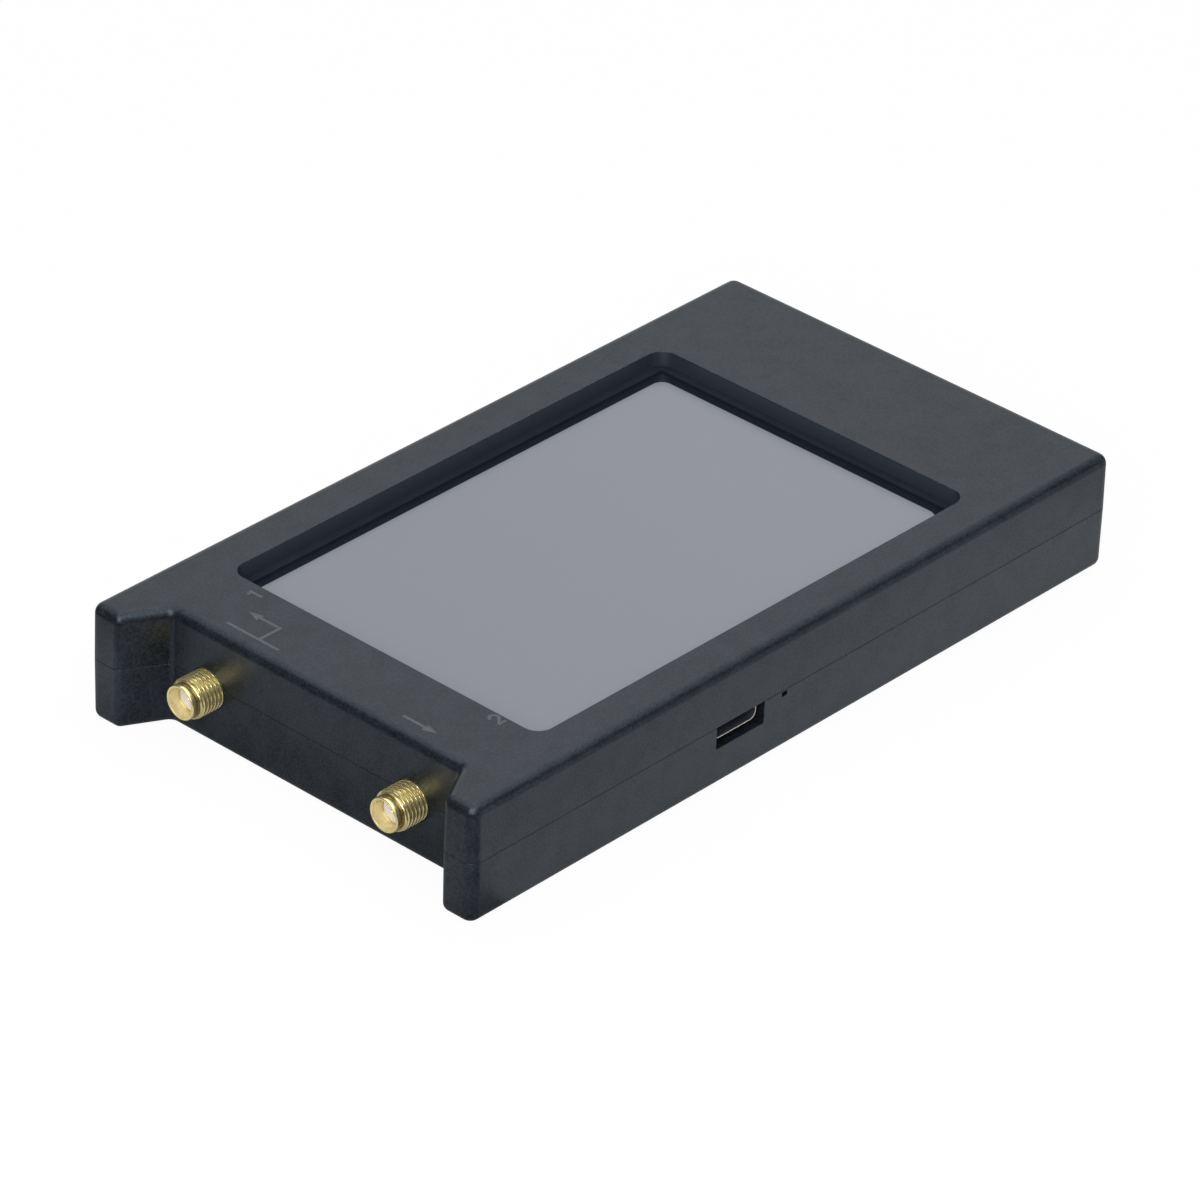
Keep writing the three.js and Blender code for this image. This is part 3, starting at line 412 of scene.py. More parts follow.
def block(across: Span, up: Span, along: Span, axis: Axis = Axis.Z) -> Skin:
    """Block with sharp edges, built up along one axis."""
    return slab(across, up, along, TINY, axis=axis, steps=1)


def rod(radius: float, along: Span, place: Place = (0, 0), edge: float = 0.0,
        axis: Axis = Axis.Z, sides: int = 48) -> Skin:
    """Round bar with rounded rims.

    Args:
        radius: Radius of the bar.
        along: Extent along its axis.
        place: Where its centre line crosses the plane of the other two axes.
        edge: Radius of the rims.
        axis: World axis that it lies along.
        sides: Number of sides.

    Returns:
        The solid.
    """
    heights, insets = round_profile(along, edge)
    return loft(stacked(circles(radius - insets, sides, place), heights), axis)


def turned(profile: list[Pair], place: Place = (0, 0), axis: Axis = Axis.Z, sides: int = 48,
           closed: bool = False) -> Skin:
    """Turned solid: each (height, radius) pair of a profile becomes a circle.

    Args:
        profile: Pairs that rise on the outside, and come back down the bore where it is closed.
        place: Where its centre line crosses the plane of the other two axes.
        axis: World axis that it lies along.
        sides: Number of sides.
        closed: Whether the profile closes on itself round a bore.

    Returns:
        The solid.
    """
    heights, radii = np.array(profile, float).T
    return loft(stacked(circles(radii, sides, place), heights), axis, closed)


def frame_ring(across: Span, up: Span, profile: list[Pair], radius: float, least: float = 0.2) -> Skin:
    """Rectangular ring: a closed profile carried round a rounded rectangle.

    Args:
        across: Extent along X.
        up: Extent along Y.
        profile: Pairs of height and inset, up the outside and down the inside.
        radius: Radius of the outer corners.
        least: Smallest radius of the inner corners.

    Returns:
        The ring.
    """
    heights, insets = np.array(profile, float).T
    return loft(stacked(outline(rectangle(across, up, radius), insets, least=least), heights), closed=True)


def band(across: Span, up: Span, height: Span, width: float, radius: float) -> Skin:
    """Rectangular ring with a plain square section."""
    (foot, head), profile = height, (0, 0, width, width)
    return frame_ring(across, up, list(zip((foot, head, head, foot), profile)), radius)


def strand(path: Array, section: Array, side: Array) -> Skin:
    """Solid that carries a section along a path.

    A point of the surface is the path's point, plus the section's first number times the direction to the
    side, plus its second number times the cross product of the path's direction and that side.

    Args:
        path: Points along the middle, rows of x, y and z.
        section: Closed outline across the path.
        side: Direction across the path that the section's first number runs along.

    Returns:
        The solid.
    """
    way = unit(np.gradient(path, axis=0))
    across = unit(side - (way @ side)[:, None] * way)
    over = np.cross(way, across)
    rings = (path[:, None, :] + section[None, :, 0, None] * across[:, None, :]
             + section[None, :, 1, None] * over[:, None, :])
    return loft(rings)


def eased(start: Array, end: Array, steps: int = 24) -> Array:
    """Path that leaves and arrives level: the share along goes evenly, the drop follows a smooth step.

    Args:
        start: First point.
        end: Last point.
        steps: Steps along the path.

    Returns:
        Points from the first to the last.
    """
    share = np.linspace(0, 1, steps + 1)
    mixed = np.stack([share, share, smooth(share)], axis=1)
    return np.array(start) + (np.array(end) - np.array(start)) * mixed


# Shader maths


class Wire:
    """Value on a shader socket. Python's arithmetic on it adds Math nodes."""

    def __init__(self, graph: "Graph", socket: bpy.types.NodeSocket) -> None:
        """Keeps the graph and the socket that the value comes from."""
        self.graph = graph
        self.socket = socket

    def __add__(self, other: "Wire | float") -> "Wire":
        """Sum."""
        return self.graph.reckon("ADD", self, other)

    def __mul__(self, other: "Wire | float") -> "Wire":
        """Product."""
        return self.graph.reckon("MULTIPLY", self, other)

    def __sub__(self, other: "Wire | float") -> "Wire":
        """Difference."""
        return self.graph.reckon("SUBTRACT", self, other)

    def __rsub__(self, other: float) -> "Wire":
        """Difference from a plain number."""
        return self.graph.reckon("SUBTRACT", other, self)

    def __truediv__(self, other: "Wire | float") -> "Wire":
        """Quotient."""
        return self.graph.reckon("DIVIDE", self, other)

    def __mod__(self, other: float) -> "Wire":
        """Remainder that is never below zero."""
        return self.graph.reckon("FLOORED_MODULO", self, other)

    def __abs__(self) -> "Wire":
        """Size without its sign."""
        return self.graph.reckon("ABSOLUTE", self)

    def at_least(self, other: "Wire | float") -> "Wire":
        """Larger of two values."""
        return self.graph.reckon("MAXIMUM", self, other)

    def hypot(self, other: "Wire") -> "Wire":
        """Square root of the sum of two squares."""
        return self.graph.reckon("SQRT", self * self + other * other)

    def step(self, low: float, high: float) -> "Wire":
        """Smooth step from 0 below low to 1 above high."""
        return self.graph.node("ShaderNodeMapRange", {"interpolation_type": "SMOOTHSTEP"},
                               {"Value": self, "From Min": low, "From Max": high})

    def between(self, low: float, high: float) -> "Wire":
        """Number between two numbers, by this share."""
        return self * (high - low) + low

    def beyond(self, ends: Span) -> "Wire":
        """How far the value lies outside a span. It is below zero inside."""
        return abs(self - middle_of(ends)) - half_of(ends)

    def repeat(self, pitch: float) -> "Wire":
        """Place within a repeat of a pitch, counted from its middle."""
        return self % pitch - pitch / 2

    __radd__ = __add__
    __rmul__ = __mul__


class Graph:
    """Node tree of one material, in which places are read in millimetres."""

    def __init__(self, tree: bpy.types.NodeTree) -> None:
        """Clears the tree."""
        tree.nodes.clear()
        self.tree = tree

    def node(self, kind: str, settings: dict | None = None, sockets: dict | None = None,
             output: int | str = 0) -> Wire | None:
        """Adds a node.

        Args:
            kind: Blender's type of the node.
            settings: Its settings, which are set first.
            sockets: Value or wire for each input, by name or number.
            output: Name or number of the output that is returned.

        Returns:
            The output as a wire, or nothing for a node that has none.
        """
        made = self.tree.nodes.new(kind)
        for key, value in (settings or {}).items():
            setattr(made, key, value)
        for key, value in (sockets or {}).items():
            if isinstance(value, Wire):
                self.tree.links.new(value.socket, made.inputs[key])
            else:
                made.inputs[key].default_value = value
        return Wire(self, made.outputs[output]) if made.outputs else None

    def reckon(self, operation: str, *values: "Wire | float") -> Wire:
        """Math node on one or two values."""
        return self.node("ShaderNodeMath", {"operation": operation}, dict(enumerate(values)))

    def blend(self, share: "Wire | float", first: "Wire | Colour", second: "Wire | Colour") -> Wire:
        """Colour between two colours.

        Args:
            share: Share of the second colour.
            first: Colour at a share of 0.
            second: Colour at a share of 1.

        Returns:
            The colour.
        """
        ends = [value if isinstance(value, Wire) else (*value, 1.0) for value in (first, second)]
        return self.node("ShaderNodeMix", {"data_type": "RGBA"},
                         {0: share, MIX_FIRST: ends[0], MIX_SECOND: ends[1]}, MIX_RESULT)

    def place(self, sizes: Triple = (1.0, 1.0, 1.0)) -> Wire:
        """Object coordinates in millimetres.

        Args:
            sizes: What they are divided by along each axis.

        Returns:
            The coordinates as a vector.
        """
        spot = self.node("ShaderNodeTexCoord", output="Object")
        scale = tuple(1 / (size * MM) for size in sizes)
        return self.node("ShaderNodeVectorMath", {"operation": "MULTIPLY"}, {0: spot, 1: scale})

    def axes(self) -> tuple[Wire, Wire, Wire]:
        """Object coordinates x, y and z in millimetres."""
        parted = self.node("ShaderNodeSeparateXYZ", sockets={0: self.place()}).socket.node
        return tuple(Wire(self, parted.outputs[k]) for k in range(3))

    def noise(self, size: float, detail: float = 2.0, stretch: Triple = (1.0, 1.0, 1.0)) -> Wire:
        """Smooth noise between 0 and 1 with features of a size, stretched along each axis."""
        spot = self.place(tuple(size * part for part in stretch))
        return self.node("ShaderNodeTexNoise", {}, {"Vector": spot, "Scale": 1.0, "Detail": detail})

    def cells(self, size: float, feature: str = "F1") -> Wire:
        """Distance in cells of a size: to the nearest cell's middle or to its edge."""
        return self.node("ShaderNodeTexVoronoi", {"feature": feature},
                         {"Vector": self.place((size, size, size)), "Scale": 1.0}, "Distance")

    def edges(self, width: float, gain: float = 3.0) -> tuple[Wire, Wire]:
        """Normal with rounded edges, and how near a point is to such an edge.

        Args:
            width: Radius of the rounding in millimetres.
            gain: How fast the edge mask grows as the rounded normal leaves the plain one.

        Returns:
            The rounded normal and a mask between 0 and 1.
        """
        rounded = self.node("ShaderNodeBevel", {"samples": EDGE_SAMPLES}, {"Radius": width * MM})
        plain = self.node("ShaderNodeNewGeometry", output="Normal")
        match = self.node("ShaderNodeVectorMath", {"operation": "DOT_PRODUCT"},
                          {0: rounded, 1: plain}, "Value")
        return rounded, ((1 - match) * gain).step(0.0, 1.0)


# Finishes


@dataclass(frozen=True)
class Finish:
    """Surface of one material: how its colour wanders, its grain, and what its edges do.

    Sizes and depths are in millimetres. A detail counts the finer layers of a noise, and a band holds the
    two levels between which a noise is spread from 0 to 1.
    """

    name: str
    colour: Colour
    roughness: float = 0.5
    metallic: float = 0.0
    ior: float = 1.5
    mottle: float = 0.16
    mottle_size: float = 5.0
    mottle_detail: float = 4.0
    mottle_band: Span = (0.3, 0.7)
    grain_size: float = 0.3
    grain_depth: float = 0.004
    grain_detail: float = 3.0
    gloss_wander: float = 0.08
    gloss_fineness: float = 3.0
    gloss_detail: float = 3.0
    edge_width: float = 0.08
    # Share of lighter colour along rounded edges, a painted highlight
    painted_edge_highlight: float = 0.25
    edge_polish: float = 0.08
    stretch: Triple = (1.0, 1.0, 1.0)

    def material(self) -> bpy.types.Material:
        """The finish as a material, made at its first use.

        Returns:
            The material.
        """
        known = bpy.data.materials.get(self.name)
        if known:
            return known
        made = bpy.data.materials.new(self.name)
        made.use_nodes = True
        self.paint(Graph(made.node_tree))
        return made

    def shade(self, share: float) -> Colour:
        """The colour made lighter or darker by a share."""
        return tuple(min(part * (1 + share), 1.0) for part in self.colour)

    def clouds(self, graph: Graph) -> Wire:
        """Slow clouds between 0 and 1."""
        return graph.noise(self.mottle_size, self.mottle_detail).step(*self.mottle_band)

    def spread(self, graph: Graph, share: Wire) -> Wire:
        """Colour between the mottle's darkest and its lightest, by a share."""
        return graph.blend(share, self.shade(-self.mottle / 2), self.shade(self.mottle / 2))

    def tone(self, graph: Graph) -> Wire:
        """Colour over the surface."""
        return self.spread(graph, self.clouds(graph))

    def around(self, wander: Wire) -> Wire:
        """Roughness that a noise moves to both sides of its middle."""
        return wander * self.gloss_wander + (self.roughness - self.gloss_wander / 2)

    def gloss(self, graph: Graph) -> Wire:
        """Roughness over the surface, before the edges are polished."""
        return self.around(graph.noise(self.mottle_size / self.gloss_fineness, self.gloss_detail))

    def relief(self, graph: Graph) -> Wire:
        """Height of the grain, between 0 and 1."""
        return graph.noise(self.grain_size, self.grain_detail, self.stretch)

    def metal(self, graph: Graph) -> Wire | float:
        """Share of metal over the surface."""
        return self.metallic

    def extras(self) -> dict:
        """Constant sockets of the shader beyond the common ones."""
        return {}

    def paint(self, graph: Graph) -> None:
        """Builds the node tree.

        Args:
            graph: Empty graph of the material.
        """
        rounded, edge = graph.edges(self.edge_width)
        # Near a rounded edge the colour is lightened towards twice its base, a painted highlight along the
        # edges.
        colour = graph.blend(edge * self.painted_edge_highlight, self.tone(graph), self.shade(1.0))
        bump = graph.node("ShaderNodeBump", {}, {
            "Distance": self.grain_depth * MM, "Height": self.relief(graph), "Normal": rounded})
        shader = graph.node("ShaderNodeBsdfPrincipled", {}, {
            "Base Color": colour, "Roughness": self.gloss(graph) - edge * self.edge_polish,
            "Metallic": self.metal(graph), "IOR": self.ior, "Normal": bump, **self.extras()})
        graph.node("ShaderNodeOutputMaterial", {}, {"Surface": shader})


@dataclass(frozen=True)
class MouldedPlastic(Finish):
    """Moulded plastic with a spark-eroded skin: fine pits and specks over a slow waviness."""

    pit_size: float = 0.22
    pit_share: float = 0.6
    speck_detail: float = 2.0
    speck_band: Span = (0.36, 0.64)
    speck_share: float = 0.65
    sheen: Colour = (1.0, 1.0, 1.0)

    def tone(self, graph: Graph) -> Wire:
        """Specks as small as the pits, and slow clouds of moulding flow."""
        specks = graph.noise(self.pit_size, self.speck_detail).step(*self.speck_band)
        return self.spread(graph, specks * self.speck_share + self.clouds(graph) * (1 - self.speck_share))

    def relief(self, graph: Graph) -> Wire:
        """Pits from small cells, roughened by the grain."""
        return graph.cells(self.pit_size) * self.pit_share + super().relief(graph) * (1 - self.pit_share)

    def extras(self) -> dict:
        """Cool or warm sheen of the skin."""
        return {"Specular Tint": (*self.sheen, 1.0)}


@dataclass(frozen=True)
class HousingPlastic(MouldedPlastic):
    """Housing plastic, painted a little lighter on the walls of the screen window, in place of the light that
    falls on them.
    """

    wall_z: Span = (16.2, 18.9)
    wall_fade: float = 0.1
    outline_fade: Span = (0.05, 0.12)
    # Lighter colour painted on the window walls, standing in for the light they catch
    painted_wall_light: Colour = (0.03, 0.038, 0.049)

    def tone(self, graph: Graph) -> Wire:
        """Base tone, and a lighter tone of painted light on faces within the window's outline and below the
        top face.

        Args:
            graph: Graph of the material.

        Returns:
            The colour.
        """
        x, y, z = graph.axes()
        within = 1 - x.beyond(WINDOW_X).at_least(y.beyond(WINDOW_Y)).step(*self.outline_fade)
        low, high = self.wall_z
        wall = within * z.step(low, low + self.wall_fade) * (1 - z.step(high - self.wall_fade, high))
        # Painted light on the window walls
        return graph.blend(wall, super().tone(graph), self.painted_wall_light)


@dataclass(frozen=True)
class TurnedMetal(Finish):
    """Plated metal from a lathe: fine rings square to the turning axis, and soft patches in the plating."""

    metallic: float = 1.0
    painted_edge_highlight: float = 0.4
    ring_size: float = 0.06
    ring_detail: float = 2.0
    stretch: Triple = (1.0, 30.0, 30.0)

    def relief(self, graph: Graph) -> Wire:
        """Rings from noise that is stretched round the axis."""
        return graph.noise(self.ring_size, self.ring_detail, self.stretch)


@dataclass(frozen=True)
class ThreadedMetal(TurnedMetal):
    """Plated jack with painted shade in its thread roots. Both ports share it."""

    bore_radius: Span = (2.42, 2.5)
    root_radius: Span = (2.81, 2.9)
    rim_x: Span = (-66.1, -65.9)
    # Dark brown painted shade in the thread's roots and the groove behind the rim
    painted_root_shade: Colour = (0.27, 0.185, 0.055)
    painted_root_shade_share: float = 0.75
    bore: Colour = (0.84, 0.74, 0.42)
    bore_dullness: float = 0.1
    bore_metal: float = 0.6
    outer_metal: float = 0.9

    def radius(self, graph: Graph) -> Wire:
        """Distance to the nearer of the two ports' axes."""
        _, y, z = graph.axes()
        return abs(y.beyond(ordered(*PORT_YS))).hypot(z - PORT_Z)

    def outside(self, graph: Graph) -> Wire:
        """Mask of what lies outside the bore."""
        return self.radius(graph).step(*self.bore_radius)

    def tone(self, graph: Graph) -> Wire:
        """Plating, paler in the bore, with painted shade in the thread's roots and in the groove behind the
        rim.

        Args:
            graph: Graph of the material.

        Returns:
            The colour.
        """
        outside = self.outside(graph)
        behind_rim = graph.axes()[0].step(*self.rim_x)
        root = (1 - self.radius(graph).step(*self.root_radius)) * outside * behind_rim
        plating = graph.blend(outside, self.bore, super().tone(graph))
        # Painted shade in the roots and behind the rim
        return graph.blend(root * self.painted_root_shade_share, plating, self.painted_root_shade)

    def metal(self, graph: Graph) -> Wire:
        """Less of a mirror in the bore."""
        return self.outside(graph).between(self.bore_metal, self.outer_metal)

    def gloss(self, graph: Graph) -> Wire:
        """Duller in the bore."""
        return super().gloss(graph) + (1 - self.outside(graph)) * self.bore_dullness


@dataclass(frozen=True)
class RolledMetal(Finish):
    """Pressed sheet metal with rolling marks along one axis and small smudges."""

    metallic: float = 1.0
    stretch: Triple = (40.0, 1.0, 1.0)
    grain_size: float = 0.08
    grain_depth: float = 0.001
    streak_size: float = 0.16
    streak_detail: float = 2.0

    def gloss(self, graph: Graph) -> Wire:
        """Roughness that follows the rolling marks."""
        return self.around(graph.noise(self.streak_size, self.streak_detail, self.stretch))


@dataclass(frozen=True)
class SocketSteel(RolledMetal):
    """Pressed tube that is blasted pale at its mouth, with painted shade on its inside behind the mouth, and
    bare farther back.
    """

    pale_depth: Span = (0.06, 0.12)
    dull_depth: Span = (2.5, 4.0)
    # Dark colour painted inside the tube behind the mouth, standing in for the shade there
    painted_inner_shade: Colour = (0.06, 0.066, 0.084)
    blasted: float = 0.15

    def depth(self, graph: Graph) -> Wire:
        """Distance behind the mouth."""
        return graph.axes()[1] - CHARGER_MOUTH_Y

    def tone(self, graph: Graph) -> Wire:
        """Pale rim, then a dark painted shade inside the tube, and bare steel behind it.

        Args:
            graph: Graph of the material.

        Returns:
            The colour.
        """
        depth = self.depth(graph)
        painted_inner_shade = depth.step(*self.pale_depth) * (1 - depth.step(*self.dull_depth))
        return graph.blend(painted_inner_shade, super().tone(graph), self.painted_inner_shade)

    def metal(self, graph: Graph) -> Wire:
        """Hardly any mirror at the mouth, and plain metal behind it."""
        return self.depth(graph).step(*self.dull_depth).between(self.blasted, 1)


@dataclass(frozen=True)
class WaxyPlastic(Finish):
    """Pale plastic that lets a little light through, as the ports' insulators and the light's lens do."""

    glow: float = 0.25
    glow_reach: float = 0.4

    def extras(self) -> dict:
        """Light let through."""
        return {"Subsurface Weight": self.glow, "Subsurface Scale": self.glow_reach * MM}


@dataclass(frozen=True)
class ClosedCellFoam(Finish):
    """Foam strip: small closed cells with darker pits."""

    cell_size: float = 0.16
    cell_wall: Span = (0.0, 0.3)

    def relief(self, graph: Graph) -> Wire:
        """Walls between the cells stand up."""
        return 1 - graph.cells(self.cell_size, "DISTANCE_TO_EDGE").step(*self.cell_wall)

    def extras(self) -> dict:
        """No sheen, as the rough cells swallow it."""
        return {"Specular IOR Level": 0.0}


@dataclass(frozen=True)
class ScreenGlass(Finish):
    """Touch panel: a light area behind the glass, and a black printed border round it."""

    border: Colour = (0.0075, 0.0098, 0.0165)
    lit_x: Span = (-46.4, 40.35)
    lit_y: Span = (-28.0, 26.85)
    lit_radius: float = 1.8
    blur: float = 0.1
    drift_slant: float = 0.6
    drift_run: Span = (-60.0, 60.0)
    drift_gain: float = 0.06
    dot_pitch: float = 0.21
    dot_share: float = 0.05
    dot_depth: float = 0.4

    def lit_area(self, graph: Graph) -> Wire:
        """Mask of the light area, from the distance to a rounded rectangle.

        Args:
            graph: Graph of the material.

        Returns:
            One in the light area, and zero on the border.
        """
        x, y, _ = graph.axes()
        beyond_x = x.beyond(grown(self.lit_x, -self.lit_radius)).at_least(0.0)
        beyond_y = y.beyond(grown(self.lit_y, -self.lit_radius)).at_least(0.0)
        return 1 - (beyond_x.hypot(beyond_y) - self.lit_radius).step(-self.blur, self.blur)

    def tone(self, graph: Graph) -> Wire:
        """Light area with a soft drift to one side and the dots' faint grid, and the border.

        Args:
            graph: Graph of the material.

        Returns:
            The colour.
        """
        x, y, _ = graph.axes()
        drift = (x - y * self.drift_slant).step(*self.drift_run)
        grid = (abs(x.repeat(self.dot_pitch)) + abs(y.repeat(self.dot_pitch))) / self.dot_pitch
        lit = graph.blend(drift, self.colour, self.shade(self.drift_gain))
        dotted = graph.blend(grid * self.dot_share, lit, self.shade(-self.dot_depth))
        return graph.blend(self.lit_area(graph), self.border, dotted)


@dataclass(frozen=True)
class SolderMask(Finish):
    """Circuit board: lacquer over copper tracks, with bare plated dots."""

    track_pitch: float = 1.27
    track_edge: Span = (0.12, 0.18)
    patch_size: float = 9.0
    patch_edge: Span = (0.495, 0.505)
    bend_size: float = 6.0
    bend_reach: float = 3.0
    dot_pitch: float = 3.81
    dot_edge: Span = (0.22, 0.27)
    copper: Colour = (0.05, 0.06, 0.055)
    plating: Colour = (0.75, 0.6, 0.25)

    def tracks(self, graph: Graph) -> Wire:
        """Mask of tracks that run along one axis or the other in patches.

        Args:
            graph: Graph of the material.

        Returns:
            One on a track, and zero beside it.
        """
        x, y, _ = graph.axes()
        patch = graph.noise(self.patch_size, 0.0).step(*self.patch_edge)
        along = x * patch + y * (1 - patch)
        bend = graph.noise(self.bend_size, 0.0) * self.bend_reach
        return 1 - abs((along + bend).repeat(self.track_pitch)).step(*self.track_edge)

    def tone(self, graph: Graph) -> Wire:
        """Lacquer, lighter over a track, with plated dots on a grid.

        Args:
            graph: Graph of the material.

        Returns:
            The colour.
        """
        x, y, _ = graph.axes()
        dots = 1 - x.repeat(self.dot_pitch).hypot(y.repeat(self.dot_pitch)).step(*self.dot_edge)
        lacquer = graph.blend(self.tracks(graph), self.colour, self.copper)
        return graph.blend(dots, lacquer, self.plating)

    def relief(self, graph: Graph) -> Wire:
        """The tracks stand up under the lacquer."""
        return self.tracks(graph)


@dataclass(frozen=True)
class FlexFilm(Finish):
    """Flat ribbon: amber film over parallel copper tracks."""

    track_pitch: float = 0.5
    track_edge: Span = (0.1, 0.16)
    track_share: float = 0.7
    copper: Colour = (0.55, 0.24, 0.07)

    def tone(self, graph: Graph) -> Wire:
        """Film with the tracks showing through."""
        track = 1 - abs(graph.axes()[1].repeat(self.track_pitch)).step(*self.track_edge)
        return graph.blend(track * self.track_share, self.colour, self.copper)


@dataclass(frozen=True)
class Foil(Finish):
    """Laminated battery pouch: soft metal sheen with shallow crinkles."""

    crease_pitch: float = 4.0
    crease_width: Span = (0.0, 0.12)
    crease_share: float = 0.4
    ripple_size: float = 1.5
    ripple_detail: float = 4.0

    def relief(self, graph: Graph) -> Wire:
        """Crinkles as creases between large cells, over finer ripples.

        Args:
            graph: Graph of the material.

        Returns:
            Height between 0 and 1.
        """
        creases = graph.cells(self.crease_pitch, "DISTANCE_TO_EDGE").step(*self.crease_width)
        ripples = graph.noise(self.ripple_size, self.ripple_detail)
        return creases * self.crease_share + ripples * (1 - self.crease_share)


@dataclass(frozen=True)
class FilledResin(Finish):
    """Dark resin of a chip's package, or pressed ferrite, with small hard grains in it."""

    spark: float = 0.12

    def relief(self, graph: Graph) -> Wire:
        """Filler grains under the skin."""
        return graph.cells(self.spark)


CHARCOAL = HousingPlastic("housing_charcoal", (0.0082, 0.0102, 0.0142), roughness=0.36, ior=1.52,
                          grain_depth=0.002, mottle=1.8, mottle_size=3.5, edge_width=0.1, painted_edge_highlight=0.3,
                          gloss_wander=0.05, pit_size=0.36, sheen=(0.74, 0.87, 1.0))
DARK_PLASTIC = MouldedPlastic("dark_plastic", (0.013, 0.0135, 0.0145), roughness=0.42)
WHITE_PLASTIC = MouldedPlastic("white_plastic", (0.78, 0.75, 0.68), roughness=0.45, mottle=0.06)
GOLD = TurnedMetal("gold_plate", (1.0, 0.84, 0.42), roughness=0.2, grain_depth=0.0006, mottle=0.1,
                   mottle_size=2.0, gloss_wander=0.08, edge_width=0.04)
JACK_GOLD = ThreadedMetal("jack_gold", (1.0, 0.86, 0.45), roughness=0.24, grain_depth=0.0004, mottle=0.1,
                          mottle_size=2.0, gloss_wander=0.06, edge_width=0.005, painted_edge_highlight=0.0)
BRIGHT_STEEL = RolledMetal("bright_steel", (0.62, 0.63, 0.64), roughness=0.3, mottle=0.1)
SOCKET_STEEL = SocketSteel("socket_steel", (0.58, 0.54, 0.47), roughness=0.34, mottle=0.1)
SCREW_STEEL = TurnedMetal("screw_steel", (0.09, 0.09, 0.1), roughness=0.36, grain_depth=0.002,
                          stretch=(30.0, 30.0, 1.0))
INSULATOR = WaxyPlastic("port_insulator", (0.9, 0.83, 0.79), roughness=0.4, mottle=0.04, grain_depth=0.002)
FOAM = ClosedCellFoam("seal_foam", (0.0175, 0.0218, 0.03), roughness=0.85, painted_edge_highlight=0.1)
GLASS = ScreenGlass("screen_glass", (0.203, 0.213, 0.243), roughness=0.16, grain_depth=0.0002,
                    gloss_wander=0.03, mottle=0.02, edge_polish=0.0)
PANEL = RolledMetal("display_glass", (0.16, 0.17, 0.19), roughness=0.2, metallic=0.0)
BOARD = SolderMask("board_lacquer", (0.006, 0.009, 0.009), roughness=0.32, grain_depth=0.03)
FILM = FlexFilm("amber_film", (0.36, 0.13, 0.02), roughness=0.3)
TAPE = Finish("tape_white", (0.72, 0.71, 0.68), roughness=0.8, grain_size=0.4, grain_depth=0.02)
POUCH = Foil("pouch_foil", (0.5, 0.52, 0.54), roughness=0.34, metallic=0.85, grain_depth=0.12)
RED_WIRE = Finish("wire_red", (0.42, 0.014, 0.01), roughness=0.38)
BLACK_WIRE = Finish("wire_black", (0.01, 0.01, 0.011), roughness=0.38)
RESIN = FilledResin("chip_resin", (0.014, 0.0145, 0.016), roughness=0.5, grain_depth=0.006)
FERRITE = FilledResin("ferrite", (0.025, 0.025, 0.027), roughness=0.6, grain_depth=0.01, spark=0.08)
LIGHT_LENS = WaxyPlastic("light_lens", (0.8, 0.76, 0.6), roughness=0.25, glow=0.4, glow_reach=0.3)
INK = Finish("grey_ink", (0.07, 0.078, 0.086), roughness=0.55, grain_size=0.08, grain_depth=0.001,
             mottle=0.25, mottle_size=0.6, painted_edge_highlight=0.0)


# Placing pieces


def dressed(name: str, skin: Skin, finish: Finish, replaces: tuple[str, ...] = (),
            body: Body = Body.HOUSING, crease: float = 32.0) -> bpy.types.Object:
    """Makes a piece from a surface and joins it to the frame.

    Args:
        name: Name of the piece.
        skin: Its surface.
        finish: Its finish.
        replaces: CAD nodes that it stands for.
        body: Body that it rides on.
        crease: Angle in degrees above which an edge stays sharp.

    Returns:
        The piece.
    """
    mesh = skin.mesh(MM)
    mesh.name = name
    mesh.polygons.foreach_set("use_smooth", np.ones(len(mesh.polygons), bool))
    mesh.set_sharp_from_angle(angle=math.radians(crease))
    made = bpy.data.objects.new(name, mesh)
    bpy.context.scene.collection.objects.link(made)
    made.data.materials.append(finish.material())
    weighted = made.modifiers.new("even_shading", "WEIGHTED_NORMAL")
    weighted.keep_sharp = True
    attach(made, body.value)
    if replaces:
        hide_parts(*replaces)
    log.info("%s: %d faces, %s", name, len(mesh.polygons), finish.name)
    return made


# Housing


@dataclass
class Plan:
    """Plan of the housing: a rectangle with a recess between two horns at its -X end."""

    end_x: float = 68.2
    far_y: float = 37.5
    corner: float = 1.8
    recess_depth: float = 7.0
    horn_root: float = 9.5
    horn_tip: float = 5.6
    horn_corner: float = 1.4
    recess_corner: float = 1.0
    wall: float = 2.0
    seam: float = 10.0
    draft: float = 0.0087

    def recess_x(self) -> float:
        """Where the recess floor's outer face stands."""
        return self.recess_depth - self.end_x

    def corners(self) -> Array:
        """Corners of the plan.

        Returns:
            Rows of x, y and corner radius, from the -X, -Y corner.
        """
        x, y, recess = self.end_x, self.far_y, self.recess_x()
        root, tip = y - self.horn_root, y - self.horn_tip
        return np.array([
            [-x, -y, self.corner], [x, -y, self.corner], [x, y, self.corner], [-x, y, self.corner],
            [-x, tip, self.horn_corner], [recess, root, self.recess_corner],
            [recess, -root, self.recess_corner], [-x, -tip, self.horn_corner]])

    def rings(self, insets: list[float] | Array, heights: list[float] | Array) -> Array:
        """Rings of the plan, each inset by an amount at a height."""
        return stacked(outline(self.corners(), np.array(insets)), np.array(heights))


